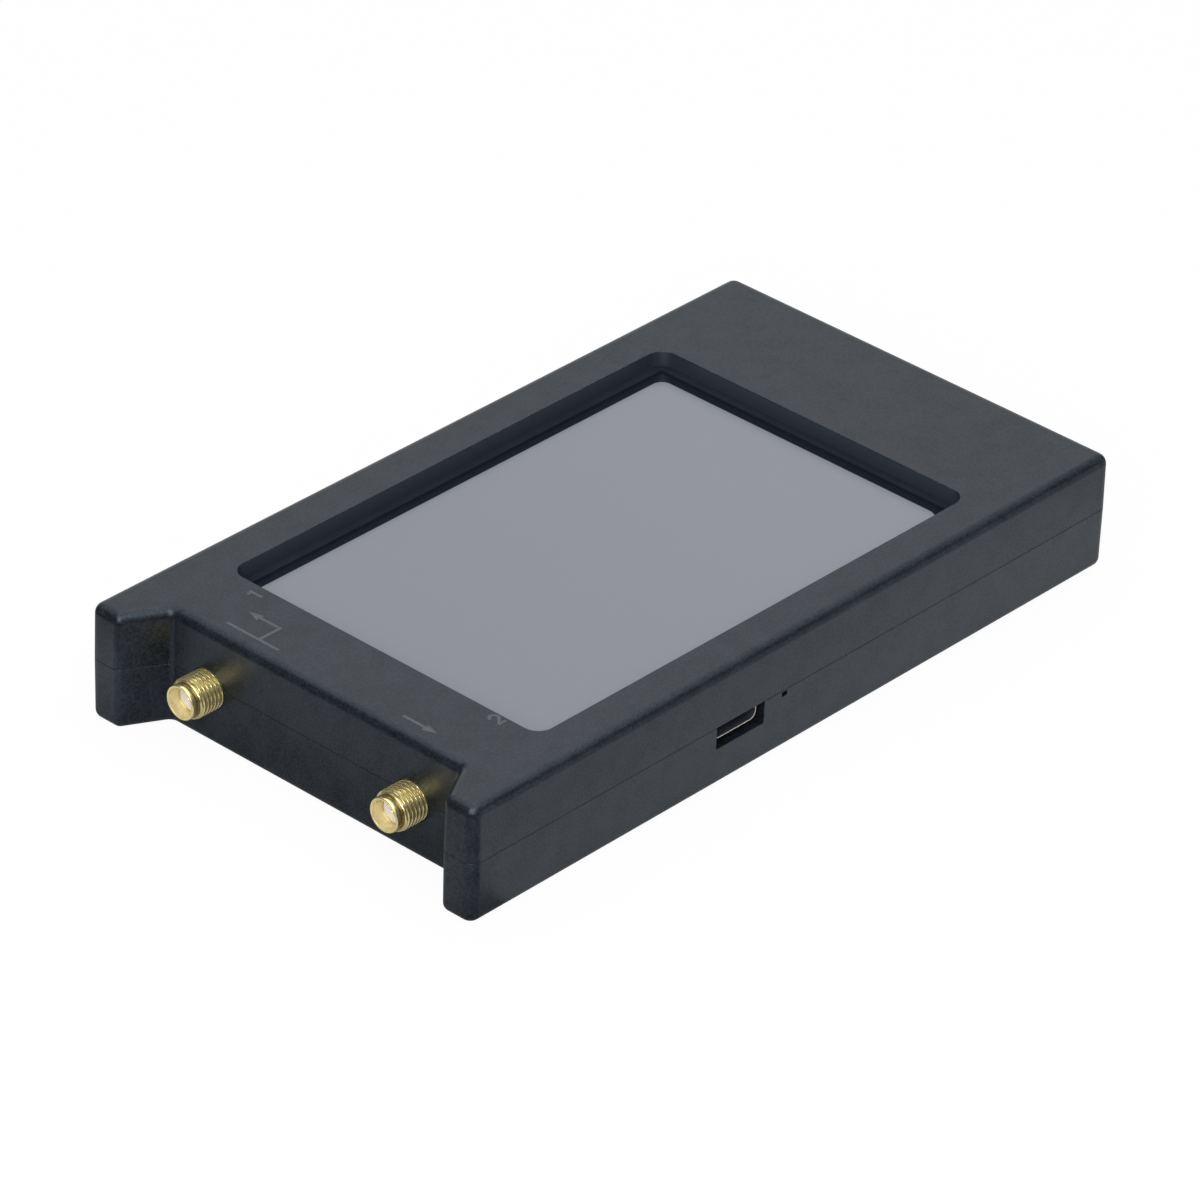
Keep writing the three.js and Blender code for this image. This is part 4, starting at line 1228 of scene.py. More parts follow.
@dataclass
class Cover:
    """What the two halves of the housing share: the plan, the skin and the screw bosses."""

    plan: Plan = field(default_factory=Plan)
    seam_bevel: float = 0.055
    boss_inset: float = 5.4
    boss_setback: float = 6.4
    gusset: float = 1.0
    jack_hole: float = 3.3

    def skin(self, face: float, fillet: float, steps: int = 8) -> Skin:
        """Outside of one half, from a small bevel at the seam to a flat face with a rounded edge.

        The wall leans in by the draft times its height. Over a quarter turn t, the rounded edge rises by
        the fillet times sin t and comes in by the fillet times (1 - cos t).

        Args:
            face: Height of the flat face.
            fillet: Radius of the edge round it.
            steps: Steps round the edge.

        Returns:
            The half as a full solid.
        """
        seam, bevel = self.plan.seam, self.seam_bevel
        way = 1 if face > seam else -1
        wall = abs(face - seam) - fillet
        turn = np.linspace(0, QUARTER, steps + 1)
        rise = np.concatenate([[0.0, bevel], wall + fillet * np.sin(turn)])
        lean = np.concatenate([[bevel, 0.0], self.plan.draft * wall + fillet * (1 - np.cos(turn))])
        order = slice(None, None, way)
        return loft(self.plan.rings(lean[order], (seam + way * rise)[order]))

    def boss_places(self) -> list[Place]:
        """Middles of the four screw bosses.

        Returns:
            Places as x and y.
        """
        near, far = self.plan.recess_x() + self.boss_setback, self.plan.end_x - self.boss_inset
        y = self.plan.far_y - self.boss_inset
        return [(near, -y), (far, -y), (near, y), (far, y)]

    def bosses(self, radius: float, height: Span, ribs: Span) -> list[Skin]:
        """Round bosses, each with two ribs to the walls beside it.

        Args:
            radius: Radius of a boss.
            height: Extent of the bosses along Z.
            ribs: Extent of the ribs along Z.

        Returns:
            The solids, which run into each other.
        """
        made, half_wall = [], self.plan.wall / 2
        for x, y in self.boss_places():
            wall_y = math.copysign(self.plan.far_y - half_wall, y)
            wall_x = self.plan.end_x - half_wall if x > 0 else self.plan.recess_x() + half_wall
            made += [rod(radius, height, (x, y)),
                     block(span(x, self.gusset), ordered(y, wall_y), ribs),
                     block(ordered(x, wall_x), span(y, self.gusset), ribs)]
        return made

    def jack_holes(self) -> list[Skin]:
        """Round holes through the recess floor."""
        along = grown((self.plan.recess_x(), self.plan.recess_x() + self.plan.wall), OVERRUN)
        return [rod(self.jack_hole, along, (y, PORT_Z), axis=Axis.X, sides=FINE_SIDES) for y in PORT_YS]


@dataclass
class UpperCover(Cover):
    """Upper half: the flat top with its bevelled screen window, the screen's pocket and four pillars."""

    top: float = 19.0
    ink: float = 0.01
    fillet: float = 1.6
    ceiling: float = 16.4
    rebate_inset: float = 0.85
    rebate_top: float = 11.5
    window_radius: float = 2.5
    window_bevel: float = 0.1
    pillar_radius: float = 2.8
    pillar_foot: float = 11.4
    rib_foot: float = 13.8
    pilot_radius: float = 1.05
    pilot_top: float = 15.3
    pocket_x: Span = (-49.9, 48.7)
    pocket_y: Span = (-32.5, 31.7)
    pocket_wall: float = 1.0
    pocket_corner: float = 2.0
    pocket_foot: float = 12.8
    ribbon_gap: Span = (-16.0, 20.5)
    gate_lintel: float = 0.4

    def room(self) -> Skin:
        """Inside of the half: a wide step at the seam that takes the lower half's lip, and the space above.

        Returns:
            Cutter for the inside.
        """
        wide, wall = self.rebate_inset, self.plan.wall
        return loft(self.plan.rings([wide, wide, wall, wall], [
            self.plan.seam - OVERRUN, self.rebate_top, self.rebate_top, self.ceiling]))

    def window(self) -> Skin:
        """Cutter for the window: upright walls with a small bevel at the top face.

        Returns:
            The cutter.
        """
        bevel, top = self.window_bevel, self.top - self.ink
        heights = [self.ceiling - OVERRUN, top - bevel, top, top + OVERRUN]
        rings = outline(rectangle(WINDOW_X, WINDOW_Y, self.window_radius), [0, 0, -bevel, -bevel])
        return loft(stacked(rings, heights))

    def pocket(self) -> Skin:
        """Low wall round the screen, open where the ribbons leave.

        Returns:
            The wall.
        """
        foot, head, wall = self.pocket_foot, self.ceiling + OVERRUN, self.pocket_wall
        ring = band(grown(self.pocket_x, wall), grown(self.pocket_y, wall), (foot, head), wall,
                    self.pocket_corner)
        gate = block((self.pocket_x[1] - wall / 2, self.pocket_x[1] + wall * 2), self.ribbon_gap,
                     (foot - OVERRUN, self.ceiling - self.gate_lintel))
        return ring.carved(Carve.CUT, gate)

    def build(self) -> None:
        """Builds and dresses the half."""
        half = self.skin(self.top - self.ink, self.fillet).carved(Carve.CUT, self.room())
        roof = self.ceiling + OVERRUN
        pillars = self.bosses(self.pillar_radius, (self.pillar_foot, roof), (self.rib_foot, roof))
        half = half.carved(Carve.JOIN, self.pocket(), *pillars, overlapping=True)
        pilots = [rod(self.pilot_radius, (self.pillar_foot - OVERRUN, self.pilot_top), place,
                      sides=COARSE_SIDES) for place in self.boss_places()]
        half = half.carved(Carve.CUT, self.window(), *pilots, *self.jack_holes())
        dressed("upper_cover", half, CHARCOAL, ("upper_shell",))


@dataclass
class LowerCover(Cover):
    """Lower half: a tub with a lip at the seam, screw pillars, the battery's fence and all side openings."""

    fillet: float = 1.35
    floor: float = 2.0
    lip_inset: float = 1.15
    lip_top: float = 11.2
    pillar_radius: float = 3.3
    pillar_head: float = 9.8
    rib_head: float = 7.4
    fence_x: Span = (-9.5, 49.3)
    fence_y: Span = (-20.3, 20.3)
    fence_wall: float = 1.0
    fence_head: float = 3.8
    fence_corner: float = 3.0
    shaft: float = 1.15
    head_hole: float = 2.2
    head_depth: float = 4.6
    usb_x: Span = (-18.35, -8.25)
    usb_foot: float = 6.34
    usb_radius: float = 0.3
    light_x: Span = (-4.575, -3.425)
    light_z: Span = (9.0, 9.75)
    opening_radius: float = 0.12
    power_x: Span = (6.6, 11.4)
    power_foot: float = 7.05
    jog_x: Span = (-19.785, -14.215)
    jog_foot: float = 6.95
    card_y: Span = (-6.3, 6.3)
    card_z: Span = (8.2, 9.5)
    card_radius: float = 0.43

    def room(self) -> Skin:
        """Inside of the tub."""
        return loft(self.plan.rings([self.plan.wall] * 2, [self.floor, self.plan.seam + OVERRUN]))

    def lip(self) -> Skin:
        """Thin wall that stands up inside the seam.

        Returns:
            The wall.
        """
        foot, head = self.plan.seam - OVERRUN, self.lip_top
        return loft(self.plan.rings([self.lip_inset, self.lip_inset, self.plan.wall, self.plan.wall],
                                    [foot, head, head, foot]), closed=True)

    def fence(self) -> Skin:
        """Low wall round the battery."""
        return band(grown(self.fence_x, self.fence_wall), grown(self.fence_y, self.fence_wall),
                    (self.floor - OVERRUN, self.fence_head), self.fence_wall, self.fence_corner)

    def shafts(self) -> list[Skin]:
        """Screw holes from below, wider where the heads sit.

        Returns:
            Cutters for the holes.
        """
        low, high = -OVERRUN, self.pillar_head + OVERRUN
        profile = [(low, self.head_hole), (self.head_depth, self.head_hole), (self.head_depth, self.shaft),
                   (high, self.shaft)]
        return [turned(profile, place) for place in self.boss_places()]

    def openings(self) -> list[Skin]:
        """Openings for the charging socket, the light, the two switches and the memory card.

        Returns:
            Cutters for the openings.
        """
        outer, inner = self.plan.far_y + OVERRUN, self.plan.far_y - self.plan.wall - OVERRUN
        near, far = (-outer, -inner), (inner, outer)
        above = self.lip_top + OVERRUN
        end = (self.plan.end_x - self.plan.wall - OVERRUN, self.plan.end_x + OVERRUN)
        return [
            slab((self.usb_foot, above), self.usb_x, near, self.usb_radius, axis=Axis.Y),
            slab(self.light_z, self.light_x, near, self.opening_radius, axis=Axis.Y),
            slab((self.power_foot, above), self.power_x, far, self.opening_radius, axis=Axis.Y),
            slab((self.jog_foot, above), self.jog_x, far, self.opening_radius, axis=Axis.Y),
            slab(self.card_y, self.card_z, end, self.card_radius, axis=Axis.X),
        ]

    def build(self) -> None:
        """Builds and dresses the half."""
        half = self.skin(0.0, self.fillet).carved(Carve.CUT, self.room())
        half = half.carved(Carve.JOIN, self.lip())
        foot = self.floor - OVERRUN
        pillars = self.bosses(self.pillar_radius, (foot, self.pillar_head), (foot, self.rib_head))
        half = half.carved(Carve.JOIN, self.fence(), *pillars, overlapping=True)
        half = half.carved(Carve.CUT, *self.shafts(), *self.jack_holes(), *self.openings())
        dressed("lower_cover", half, CHARCOAL, ("lower_shell",))


@dataclass
class CaseScrew:
    """Pan-head screw with a cross recess and a coarse thread, driven up from below."""

    number: int
    head_radius: float = 1.9
    head: Span = (3.1, 4.6)
    dome: Pair = (0.45, -0.63)
    dome_steps: int = 5
    shank: Span = (4.2, 15.0)
    core: float = 0.72
    crest: float = 1.0
    pitch: float = 0.8
    ridge_share: float = 0.5
    tip_share: float = 0.4
    drive: float = 0.95
    drive_width: float = 0.42
    drive_corner: float = 0.105
    drive_depth: float = 0.8
    sides: int = 32
    samples: int = 8

    def thread(self, place: Place) -> Skin:
        """Shank whose radius follows a helix.

        The radius at a height and angle is the core plus the thread's depth times a ridge, which falls off
        with the distance between the height and the helix, counted in half pitches. It fades out at the tip,
        where the core narrows as well.

        Args:
            place: Where the screw's axis stands.

        Returns:
            The shank.
        """
        low, high = self.shank
        heights = np.linspace(low, high, int((high - low) / self.pitch * self.samples) + 1)
        phase = (heights[:, None] / self.pitch - np.arange(self.sides) / self.sides) % 1.0
        ridge = np.clip(1 - np.abs(phase * 2 - 1) / self.ridge_share, 0, 1)
        fade = np.clip((high - heights) / self.pitch, 0, 1)[:, None]
        core = self.core * (self.tip_share + (1 - self.tip_share) * fade)
        radius = core + (self.crest - self.core) * ridge * fade
        return loft(stacked(circles(radius, self.sides, place), heights))

    def build(self) -> None:
        """Builds and dresses the screw."""
        node = f"case_screw_{self.number}"
        x, y = (middle_of(ends) for ends in node_spans(node)[:2])
        low, high = self.head
        dome = corner_arc((low, self.head_radius), self.dome, self.dome_steps)[::-1]
        head = turned([*dome, (high, self.head_radius)], (x, y), sides=self.sides * 2)
        blade, arm = self.drive_width, self.drive * 2
        slots = [slab(span(x, wide), span(y, deep), (low - OVERRUN, low + self.drive_depth),
                      self.drive_corner, steps=3) for wide, deep in ((arm, blade), (blade, arm))]
        skin = head.carved(Carve.CUT, *slots, overlapping=True) + self.thread((x, y))
        dressed(f"screw_{self.number}", skin, SCREW_STEEL, (node,))


# Coaxial ports


@dataclass
class CoaxialPort:
    """Threaded jack with its flange, white insulator and slotted centre contact."""

    number: int
    recess_x: float = -61.2
    reach: float = 5.45
    rim_length: float = 1.3
    rim_radius: float = 2.7
    rim_edge: float = 0.15
    groove_radius: float = 2.62
    groove_gap: float = 0.01875
    thread_radius: float = 3.175
    thread_pitch: float = 0.7056
    thread_depth: float = 0.36
    crest_share: float = 0.34
    flank_share: float = 0.26
    lead_in: float = 0.5
    lead_in_depth: float = 0.9
    flange_face: float = 2.3
    flange_back: float = 3.9
    flange_width: float = 8.0
    flange_corner: float = 0.3
    flange_edge: float = 0.12
    mouth_radius: float = 2.3
    mouth_depth: float = 2.0
    insulator_radius: float = 2.1
    insulator_chamfer: float = 0.08
    contact_radius: float = 0.635
    contact_bore: float = 0.46
    contact_depth: float = 2.4
    contact_edge: float = 0.06
    contact_cone: float = 0.2
    contact_sides: int = 40
    slot_width: float = 0.18
    slot_length: float = 1.905
    pin_radius: float = 0.45
    pin_reach: float = 2.6
    leg_width: float = 1.1
    leg_thickness: float = 1.0
    leg_reach: float = 4.4
    leg_overlap: float = 0.4
    leg_edge: float = 0.1
    board: Span = (9.8, 11.4)
    sides: int = 96
    samples: int = 14
    gap: float = 0.05

    def axis_place(self) -> Place:
        """Where the jack's axis crosses the plane of Y and Z."""
        return middle_of(node_spans(f"port_{self.number}_jack_body")[1]), PORT_Z

    def sleeve(self) -> Span:
        """Face and back of the insulator along X."""
        return self.recess_x - self.reach + self.mouth_depth, self.recess_x + self.flange_back - self.gap

    def barrel(self) -> Skin:
        """Barrel with its thread, rim and bore, as one closed surface of (distance along, angle).

        In the thread, the radius is the crest less the depth times a ramp. The ramp is 0 over the crest's
        share of the pitch and 1 in the root, where the pitch is counted along the axis less the angle's
        share of a turn. The thread fades in over its first half pitch.

        Returns:
            The barrel.
        """
        tip, edge, inner = self.recess_x - self.reach, self.rim_edge, self.mouth_radius
        start, stop = tip + self.rim_length, self.recess_x + self.flange_back
        along = np.linspace(start, stop, int((stop - start) / self.thread_pitch * self.samples) + 1)
        phase = ((along[:, None] - start) / self.thread_pitch - np.arange(self.sides) / self.sides) % 1.0
        away = np.abs(phase * 2 - 1)
        ramp = smooth(np.clip((away - self.crest_share) / (2 * self.flank_share), 0, 1))
        fresh = np.clip(1 - (along - start) / (self.thread_pitch * self.lead_in), 0, 1)[:, None]
        cut = np.maximum(ramp, fresh * self.lead_in_depth) * self.thread_depth
        rim = corner_arc((tip, self.rim_radius), (edge, -edge))[::-1]
        lip = corner_arc((tip, inner), (edge / 2, edge / 2))
        floor = tip + self.mouth_depth
        front = [*rim, (start - edge * 2, self.rim_radius), (start - edge, self.groove_radius),
                 (start - self.groove_gap, self.groove_radius)]
        bore = [(stop, self.insulator_radius), (floor, self.insulator_radius), (floor, inner), *lip[::-1]]
        (front_x, front_radii), (bore_x, bore_radii) = np.array(front).T, np.array(bore).T
        plain = np.ones((1, self.sides))
        radii = np.vstack([front_radii[:, None] * plain, self.thread_radius - cut,
                           bore_radii[:, None] * plain])
        heights = np.concatenate([front_x, along, bore_x])
        return loft(stacked(circles(radii, self.sides, self.axis_place()), heights), Axis.X, closed=True)

    def flange(self) -> Skin:
        """Square flange behind the wall, with four legs that hold the board between them.

        Returns:
            The flange, bored for the barrel.
        """
        y, z = self.axis_place()
        x0, back, half = self.recess_x, self.recess_x + self.flange_back, self.flange_width / 2
        plate = slab(span(y, self.flange_width), span(z, self.flange_width), (x0 + self.flange_face, back),
                     self.flange_corner, self.flange_edge, Axis.X)
        low, high = self.board
        along = (back - self.leg_overlap, back + self.leg_reach)
        legs = [slab(ordered(y + side * half, y + side * (half - self.leg_width)), up, along,
                     self.flange_edge, self.leg_edge, Axis.X)
                for side in (-1, 1)
                for up in ((high, high + self.leg_thickness), (low - self.leg_thickness, low))]
        bore = rod(self.thread_radius - self.thread_depth / 2, grown((x0, along[1]), OVERRUN), (y, z),
                   axis=Axis.X, sides=self.sides)
        return plate.carved(Carve.JOIN, *legs).carved(Carve.CUT, bore)

    def insulator(self) -> Skin:
        """White sleeve round the contact, with a small chamfer at its face.

        Returns:
            The sleeve.
        """
        (face, back), chamfer = self.sleeve(), self.insulator_chamfer
        outer, inner = self.insulator_radius - self.gap, self.contact_radius + self.gap
        return turned([(face, outer - chamfer), (face + chamfer, outer), (back, outer), (back, inner),
                       (face + chamfer, inner), (face, inner + chamfer)],
                      self.axis_place(), Axis.X, FINE_SIDES, True)

    def contact(self) -> Skin:
        """Sprung socket with four slots, and its pin behind.

        Returns:
            The contact.
        """
        (face, back), edge = self.sleeve(), self.contact_edge
        pin, deep = back + self.pin_reach, face + self.contact_depth
        foot = deep - self.contact_cone
        spring = turned([
            (deep, TINY), (foot, self.contact_bore), (face + edge, self.contact_bore),
            (face, self.contact_bore + edge), (face, self.contact_radius - edge),
            (face + edge, self.contact_radius), (back, self.contact_radius), (back, self.pin_radius),
            (pin - edge, self.pin_radius), (pin, self.pin_radius - edge)],
            self.axis_place(), Axis.X, self.contact_sides)
        y, z = self.axis_place()
        slots = [block(span(y, wide), span(z, high), (face - OVERRUN, foot), Axis.X)
                 for wide, high in ((self.slot_width, self.slot_length), (self.slot_length, self.slot_width))]
        return spring.carved(Carve.CUT, *slots, overlapping=True)

    def build(self) -> None:
        """Builds and dresses the port's three pieces."""
        name = f"port_{self.number}"
        jack = self.barrel() + self.flange()
        dressed(f"{name}_jack", jack, JACK_GOLD, (f"{name}_jack_body",))
        dressed(f"{name}_dielectric", self.insulator(), INSULATOR, (f"{name}_insulator",))
        dressed(f"{name}_spring_socket", self.contact(), GOLD, (f"{name}_contact",))


# Charging socket


@dataclass
class ChargingSocket:
    """Reversible USB socket: a pressed steel tube with tabs, and a tongue with a row of contacts."""

    middle_x: float = -13.3
    length: float = 7.05
    z: Span = (7.15, 9.8)
    width: float = 8.9
    wall: float = 0.1
    flare: float = 0.08
    lip: float = 0.02
    corner: float = 1.2
    corner_steps: int = 10
    tab_width: float = 1.2
    tab_reach: float = 1.1
    tab_ys: Pair = (2.15, 6.75)
    tongue_width: float = 6.7
    tongue_thickness: float = 0.7
    tongue_corner: float = 0.3
    tongue_edge: float = 0.18
    tongue_setback: float = 0.9
    back_length: float = 2.2
    contact_count: int = 12
    contact_pitch: float = 0.5
    contact_width: float = 0.26
    contact_run: Span = (0.35, 4.0)
    contact_thickness: float = 0.05
    contact_corner: float = 0.1
    contact_edge: float = 0.02
    gap: float = 0.05

    def shell(self) -> Skin:
        """Tube with a flared mouth: the outer outline runs to the back, and the inner one returns.

        Returns:
            The tube with its four tabs.
        """
        y0, back, middle, wall = CHARGER_MOUTH_Y, CHARGER_MOUTH_Y + self.length, self.middle_x, self.wall
        profile = np.array([(y0 + self.flare, wall), (y0 + self.lip, self.lip), (y0, self.lip / 2),
                            (y0 + self.lip, 0.0), (back, 0.0), (back, wall)])
        section = rectangle(self.z, span(middle, self.width), self.corner)
        tube = loft(stacked(outline(section, profile[:, 1], self.corner_steps), profile[:, 0]), Axis.Y, True)
        half = self.width / 2
        inner = half - self.corner - wall
        tabs = [slab((self.z[1] - wall, self.z[1]),
                     ordered(middle + side * inner, middle + side * (half + self.tab_reach)),
                     span(y0 + y, self.tab_width), wall / 3, wall / 4, Axis.Y)
                for side in (-1, 1) for y in self.tab_ys]
        return tube.carved(Carve.JOIN, *tabs)

    def tongue(self) -> Skin:
        """Moulded tongue with a rounded tip, on a block that closes the tube's back.

        Returns:
            The tongue.
        """
        y0, back, inset = CHARGER_MOUTH_Y, CHARGER_MOUTH_Y + self.length, self.wall + self.gap
        stopper = slab(grown(self.z, -inset), grown(span(self.middle_x, self.width), -inset),
                       (back - self.back_length, back), self.corner - inset, axis=Axis.Y)
        blade = slab(span(middle_of(self.z), self.tongue_thickness), span(self.middle_x, self.tongue_width),
                     (y0 + self.tongue_setback, back - self.back_length / 2), self.tongue_corner,
                     self.tongue_edge, Axis.Y)
        return stopper.carved(Carve.JOIN, blade)

    def contacts(self) -> Skin:
        """Two rows of thin strips on the tongue's faces.

        Returns:
            The strips.
        """
        y0 = CHARGER_MOUTH_Y + self.tongue_setback
        along = (y0 + self.contact_run[0], y0 + self.contact_run[1])
        columns = np.arange(self.contact_count) - (self.contact_count - 1) / 2
        strips = [slab(span(x, self.contact_width), along,
                       span(middle_of(self.z) + side * self.tongue_thickness / 2, self.contact_thickness * 2),
                       self.contact_corner, self.contact_edge, steps=3)
                  for x in self.middle_x + columns * self.contact_pitch for side in (-1, 1)]
        return sum(strips[1:], strips[0])

    def build(self) -> None:
        """Builds and dresses the socket's pieces."""
        dressed("charging_shell", self.shell(), SOCKET_STEEL, ("usb_shell",))
        dressed("charging_tongue", self.tongue(), DARK_PLASTIC, ("usb_tongue",))
        dressed("charging_contacts", self.contacts(), GOLD)


# Switches on the far side


@dataclass
class SlideKnob:
    """Knob of the power switch: a foot in the case, and a stem with ridges across its tip."""

    edge: float = 0.12
    foot_width: float = 2.6
    foot_length: float = 2.2
    stem_width: float = 2.2
    stem_height: float = 1.5
    ridges: int = 4
    ridge_depth: float = 0.22
    columns: int = 41
    rows: int = 15

    def stem(self, x_span: Span, y_span: Span, z_span: Span) -> Skin:
        """Stem whose tip is a height field of the two numbers across it.

        The tip lies back by half the ridge depth times (1 - cos) of the ridges' phase, and by the edge
        radius less the height of a quarter circle within one radius of the outline.

        Args:
            x_span: Extent along X.
            y_span: Extent along Y, with the tip at its end.
            z_span: Extent along Z.

        Returns:
            The stem.
        """
        grid_x, grid_z = np.meshgrid(crowded(x_span, self.columns), crowded(z_span, self.rows))
        phase = (grid_x - x_span[0]) / (x_span[1] - x_span[0]) * self.ridges
        ridge = self.ridge_depth * (1 - np.cos(FULL_TURN * phase)) / 2
        near = np.minimum.reduce([grid_x - x_span[0], x_span[1] - grid_x,
                                  grid_z - z_span[0], z_span[1] - grid_z])
        short = np.clip(1 - near / self.edge, 0, 1)
        drop = self.edge * (1 - np.sqrt(1 - short * short))
        tip = y_span[1] - self.ridge_depth + ridge - drop
        top = np.stack([grid_x, tip, grid_z], axis=-1).reshape(-1, 3)
        index = np.arange(top.shape[0]).reshape(self.rows, self.columns)
        quads = np.stack([index[:-1, :-1], index[1:, :-1], index[1:, 1:], index[:-1, 1:]], axis=-1)
        border = np.concatenate([index[0, :-1], index[:-1, -1], index[-1, :0:-1], index[:0:-1, 0]])
        base = top[border].copy()
        base[:, 1] = y_span[0]
        low = np.arange(len(border)) + len(top)
        skirt = np.stack([border, np.roll(border, -1), np.roll(low, -1), low], axis=-1)
        faces = quads.reshape(-1, 4).tolist() + skirt.tolist() + [low.tolist()]
        return Skin(np.vstack([top, base]), faces)

    def build(self) -> None:
        """Builds and dresses the knob."""
        x_span, y_span, z_span = node_spans("power_switch_knob")
        x, z = middle_of(x_span), middle_of(z_span)
        foot = slab(span(x, self.foot_width), (y_span[0], y_span[0] + self.foot_length), z_span, self.edge,
                    self.edge)
        stem = self.stem(span(x, self.stem_width), (y_span[0] + self.foot_length / 2, y_span[1]),
                         span(z, self.stem_height))
        dressed("power_knob_cap", foot.carved(Carve.JOIN, stem), DARK_PLASTIC,
                ("power_switch_knob",), Body.POWER_KNOB)


@dataclass
class RockerLever:
    """Lever of the jog switch: an eye round the pin, a neck through the wall and a grooved tab outside."""

    pivot: Place = (-17.0, 30.9)
    thickness: Span = (7.25, 8.55)
    edge: float = 0.12
    edge_steps: int = 3
    hub_radius: float = 1.7
    eye_radius: float = 1.0
    neck_width: float = 2.4
    neck_end: float = 7.4
    flare: float = 0.8
    tab_width: float = 6.4
    tab_tuck: float = 0.1
    tip: float = 9.8
    crown_power: int = 6
    crown_root: int = 3
    groove_depth: float = 0.3
    groove_pitch: float = 1.05
    samples: int = 90

    def tab_outline(self) -> Array:
        """Outline of the tab: a flared back, rounded sides, and grooves along the tip.

        Across the tip the outline is a shallow superellipse, less half the groove depth times (1 + cos) of
        the grooves' phase, faded out towards the two corners.

        Returns:
            Points as rows of x and y.
        """
        half, neck, back = self.tab_width / 2, self.neck_width / 2, self.neck_end + self.flare
        x = half * np.sin(np.linspace(-1, 1, self.samples) * QUARTER)
        crown = (1 - np.abs(x / half) ** self.crown_power) ** (1 / self.crown_root)
        fade = np.clip((half - np.abs(x)) / self.groove_pitch, 0, 1)
        groove = self.groove_depth * (1 + np.cos(FULL_TURN * x / self.groove_pitch)) / 2 * fade
        tip = np.stack([x, back + (self.tip - back) * crown - groove], axis=1)[::-1]
        right = np.array([[neck, self.neck_end], [half, back - self.tab_tuck]])
        left = (right * np.array([-1, 1]))[::-1]
        return np.concatenate([right, tip, left]) + np.array(self.pivot)

    def bevelled(self, shape: Array) -> Skin:
        """Plate of an outline with rounded rims: each ring moves inwards along the outline's normals.

        Args:
            shape: Points of the outline.

        Returns:
            The plate.
        """
        heights, insets = round_profile(self.thickness, self.edge, self.edge_steps)
        way = unit(np.roll(shape, -1, axis=0) - np.roll(shape, 1, axis=0))
        inward = np.stack([-way[:, 1], way[:, 0]], axis=1)
        return loft(stacked(shape + insets[:, None, None] * inward, heights))

    def build(self) -> None:
        """Builds and dresses the lever."""
        x0, y0 = self.pivot
        hub = rod(self.hub_radius, self.thickness, (x0, y0), self.edge)
        neck = slab(span(x0, self.neck_width), (y0, y0 + self.neck_end + self.flare / 2),
                    self.thickness, self.edge, self.edge)
        eye = rod(self.eye_radius, grown(self.thickness, OVERRUN), (x0, y0))
        lever = self.bevelled(self.tab_outline()).carved(Carve.JOIN, hub, neck, overlapping=True)
        dressed("jog_lever_cap", lever.carved(Carve.CUT, eye), DARK_PLASTIC,
                ("jog_lever",), Body.JOG_LEVER)


# Screen and battery


@dataclass
class Screen:
    """What is soft round the screen: the foam seal, the tape behind it and its two ribbons."""

    seal_inner_x: float = -46.6
    seal_edge: float = 0.12
    seal_steps: int = 3
    corner: float = 1.2
    tape_width: float = 4.5
    ribbon_thickness: float = 0.2
    ribbon_corner: float = 0.04
    connector_z: float = 12.0
    connector_grip: float = 1.4

    def seal(self) -> Skin:
        """Foam ring with softly rounded edges, carried round the window.

        Returns:
            The ring.
        """
        x_span, y_span, (low, high) = node_spans("screen_gasket")
        width, edge = self.seal_inner_x - x_span[0], self.seal_edge
        inner = corner_arc((high, width), (-edge, -edge), self.seal_steps)[::-1]
        return frame_ring(x_span, y_span, [(low, 0.0), (high, 0.0), *inner, (low, width)], self.corner)

    def tape(self) -> Skin:
        """Double-sided tape between the tray and the board, as a flat ring."""
        return band(*node_spans("display_tape"), self.tape_width, self.corner)

    def ribbon(self, node: str) -> Skin:
        """Flat ribbon that leaves the screen level and steps down into its connector.

        Args:
            node: CAD node that it stands for.

        Returns:
            The ribbon.
        """
        x_span, y_span, z_span = node_spans(node)
        half = self.ribbon_thickness / 2
        turn_x = x_span[1] - self.connector_grip
        step = eased((x_span[0], 0, z_span[1] - half), (turn_x - half, 0, self.connector_z))
        path = np.vstack([step, [(x_span[1], 0, self.connector_z)]]) + np.array([0, middle_of(y_span), 0])
        corners = rectangle(span(0, y_span[1] - y_span[0]), (-half, half), self.ribbon_corner)
        section = outline(corners, steps=2, least=self.ribbon_corner)[0]
        return strand(path, section, np.array([0.0, 1.0, 0.0]))

    def build(self) -> None:
        """Builds and dresses the pieces."""
        seal = dressed("window_seal", self.seal(), FOAM, ("screen_gasket",))
        dressed("screen_tape", self.tape(), TAPE, ("display_tape",))
        for name, node in (("screen_flex", "display_ribbon"), ("touch_flex", "touch_ribbon")):
            dressed(name, self.ribbon(node), FILM, (node,))


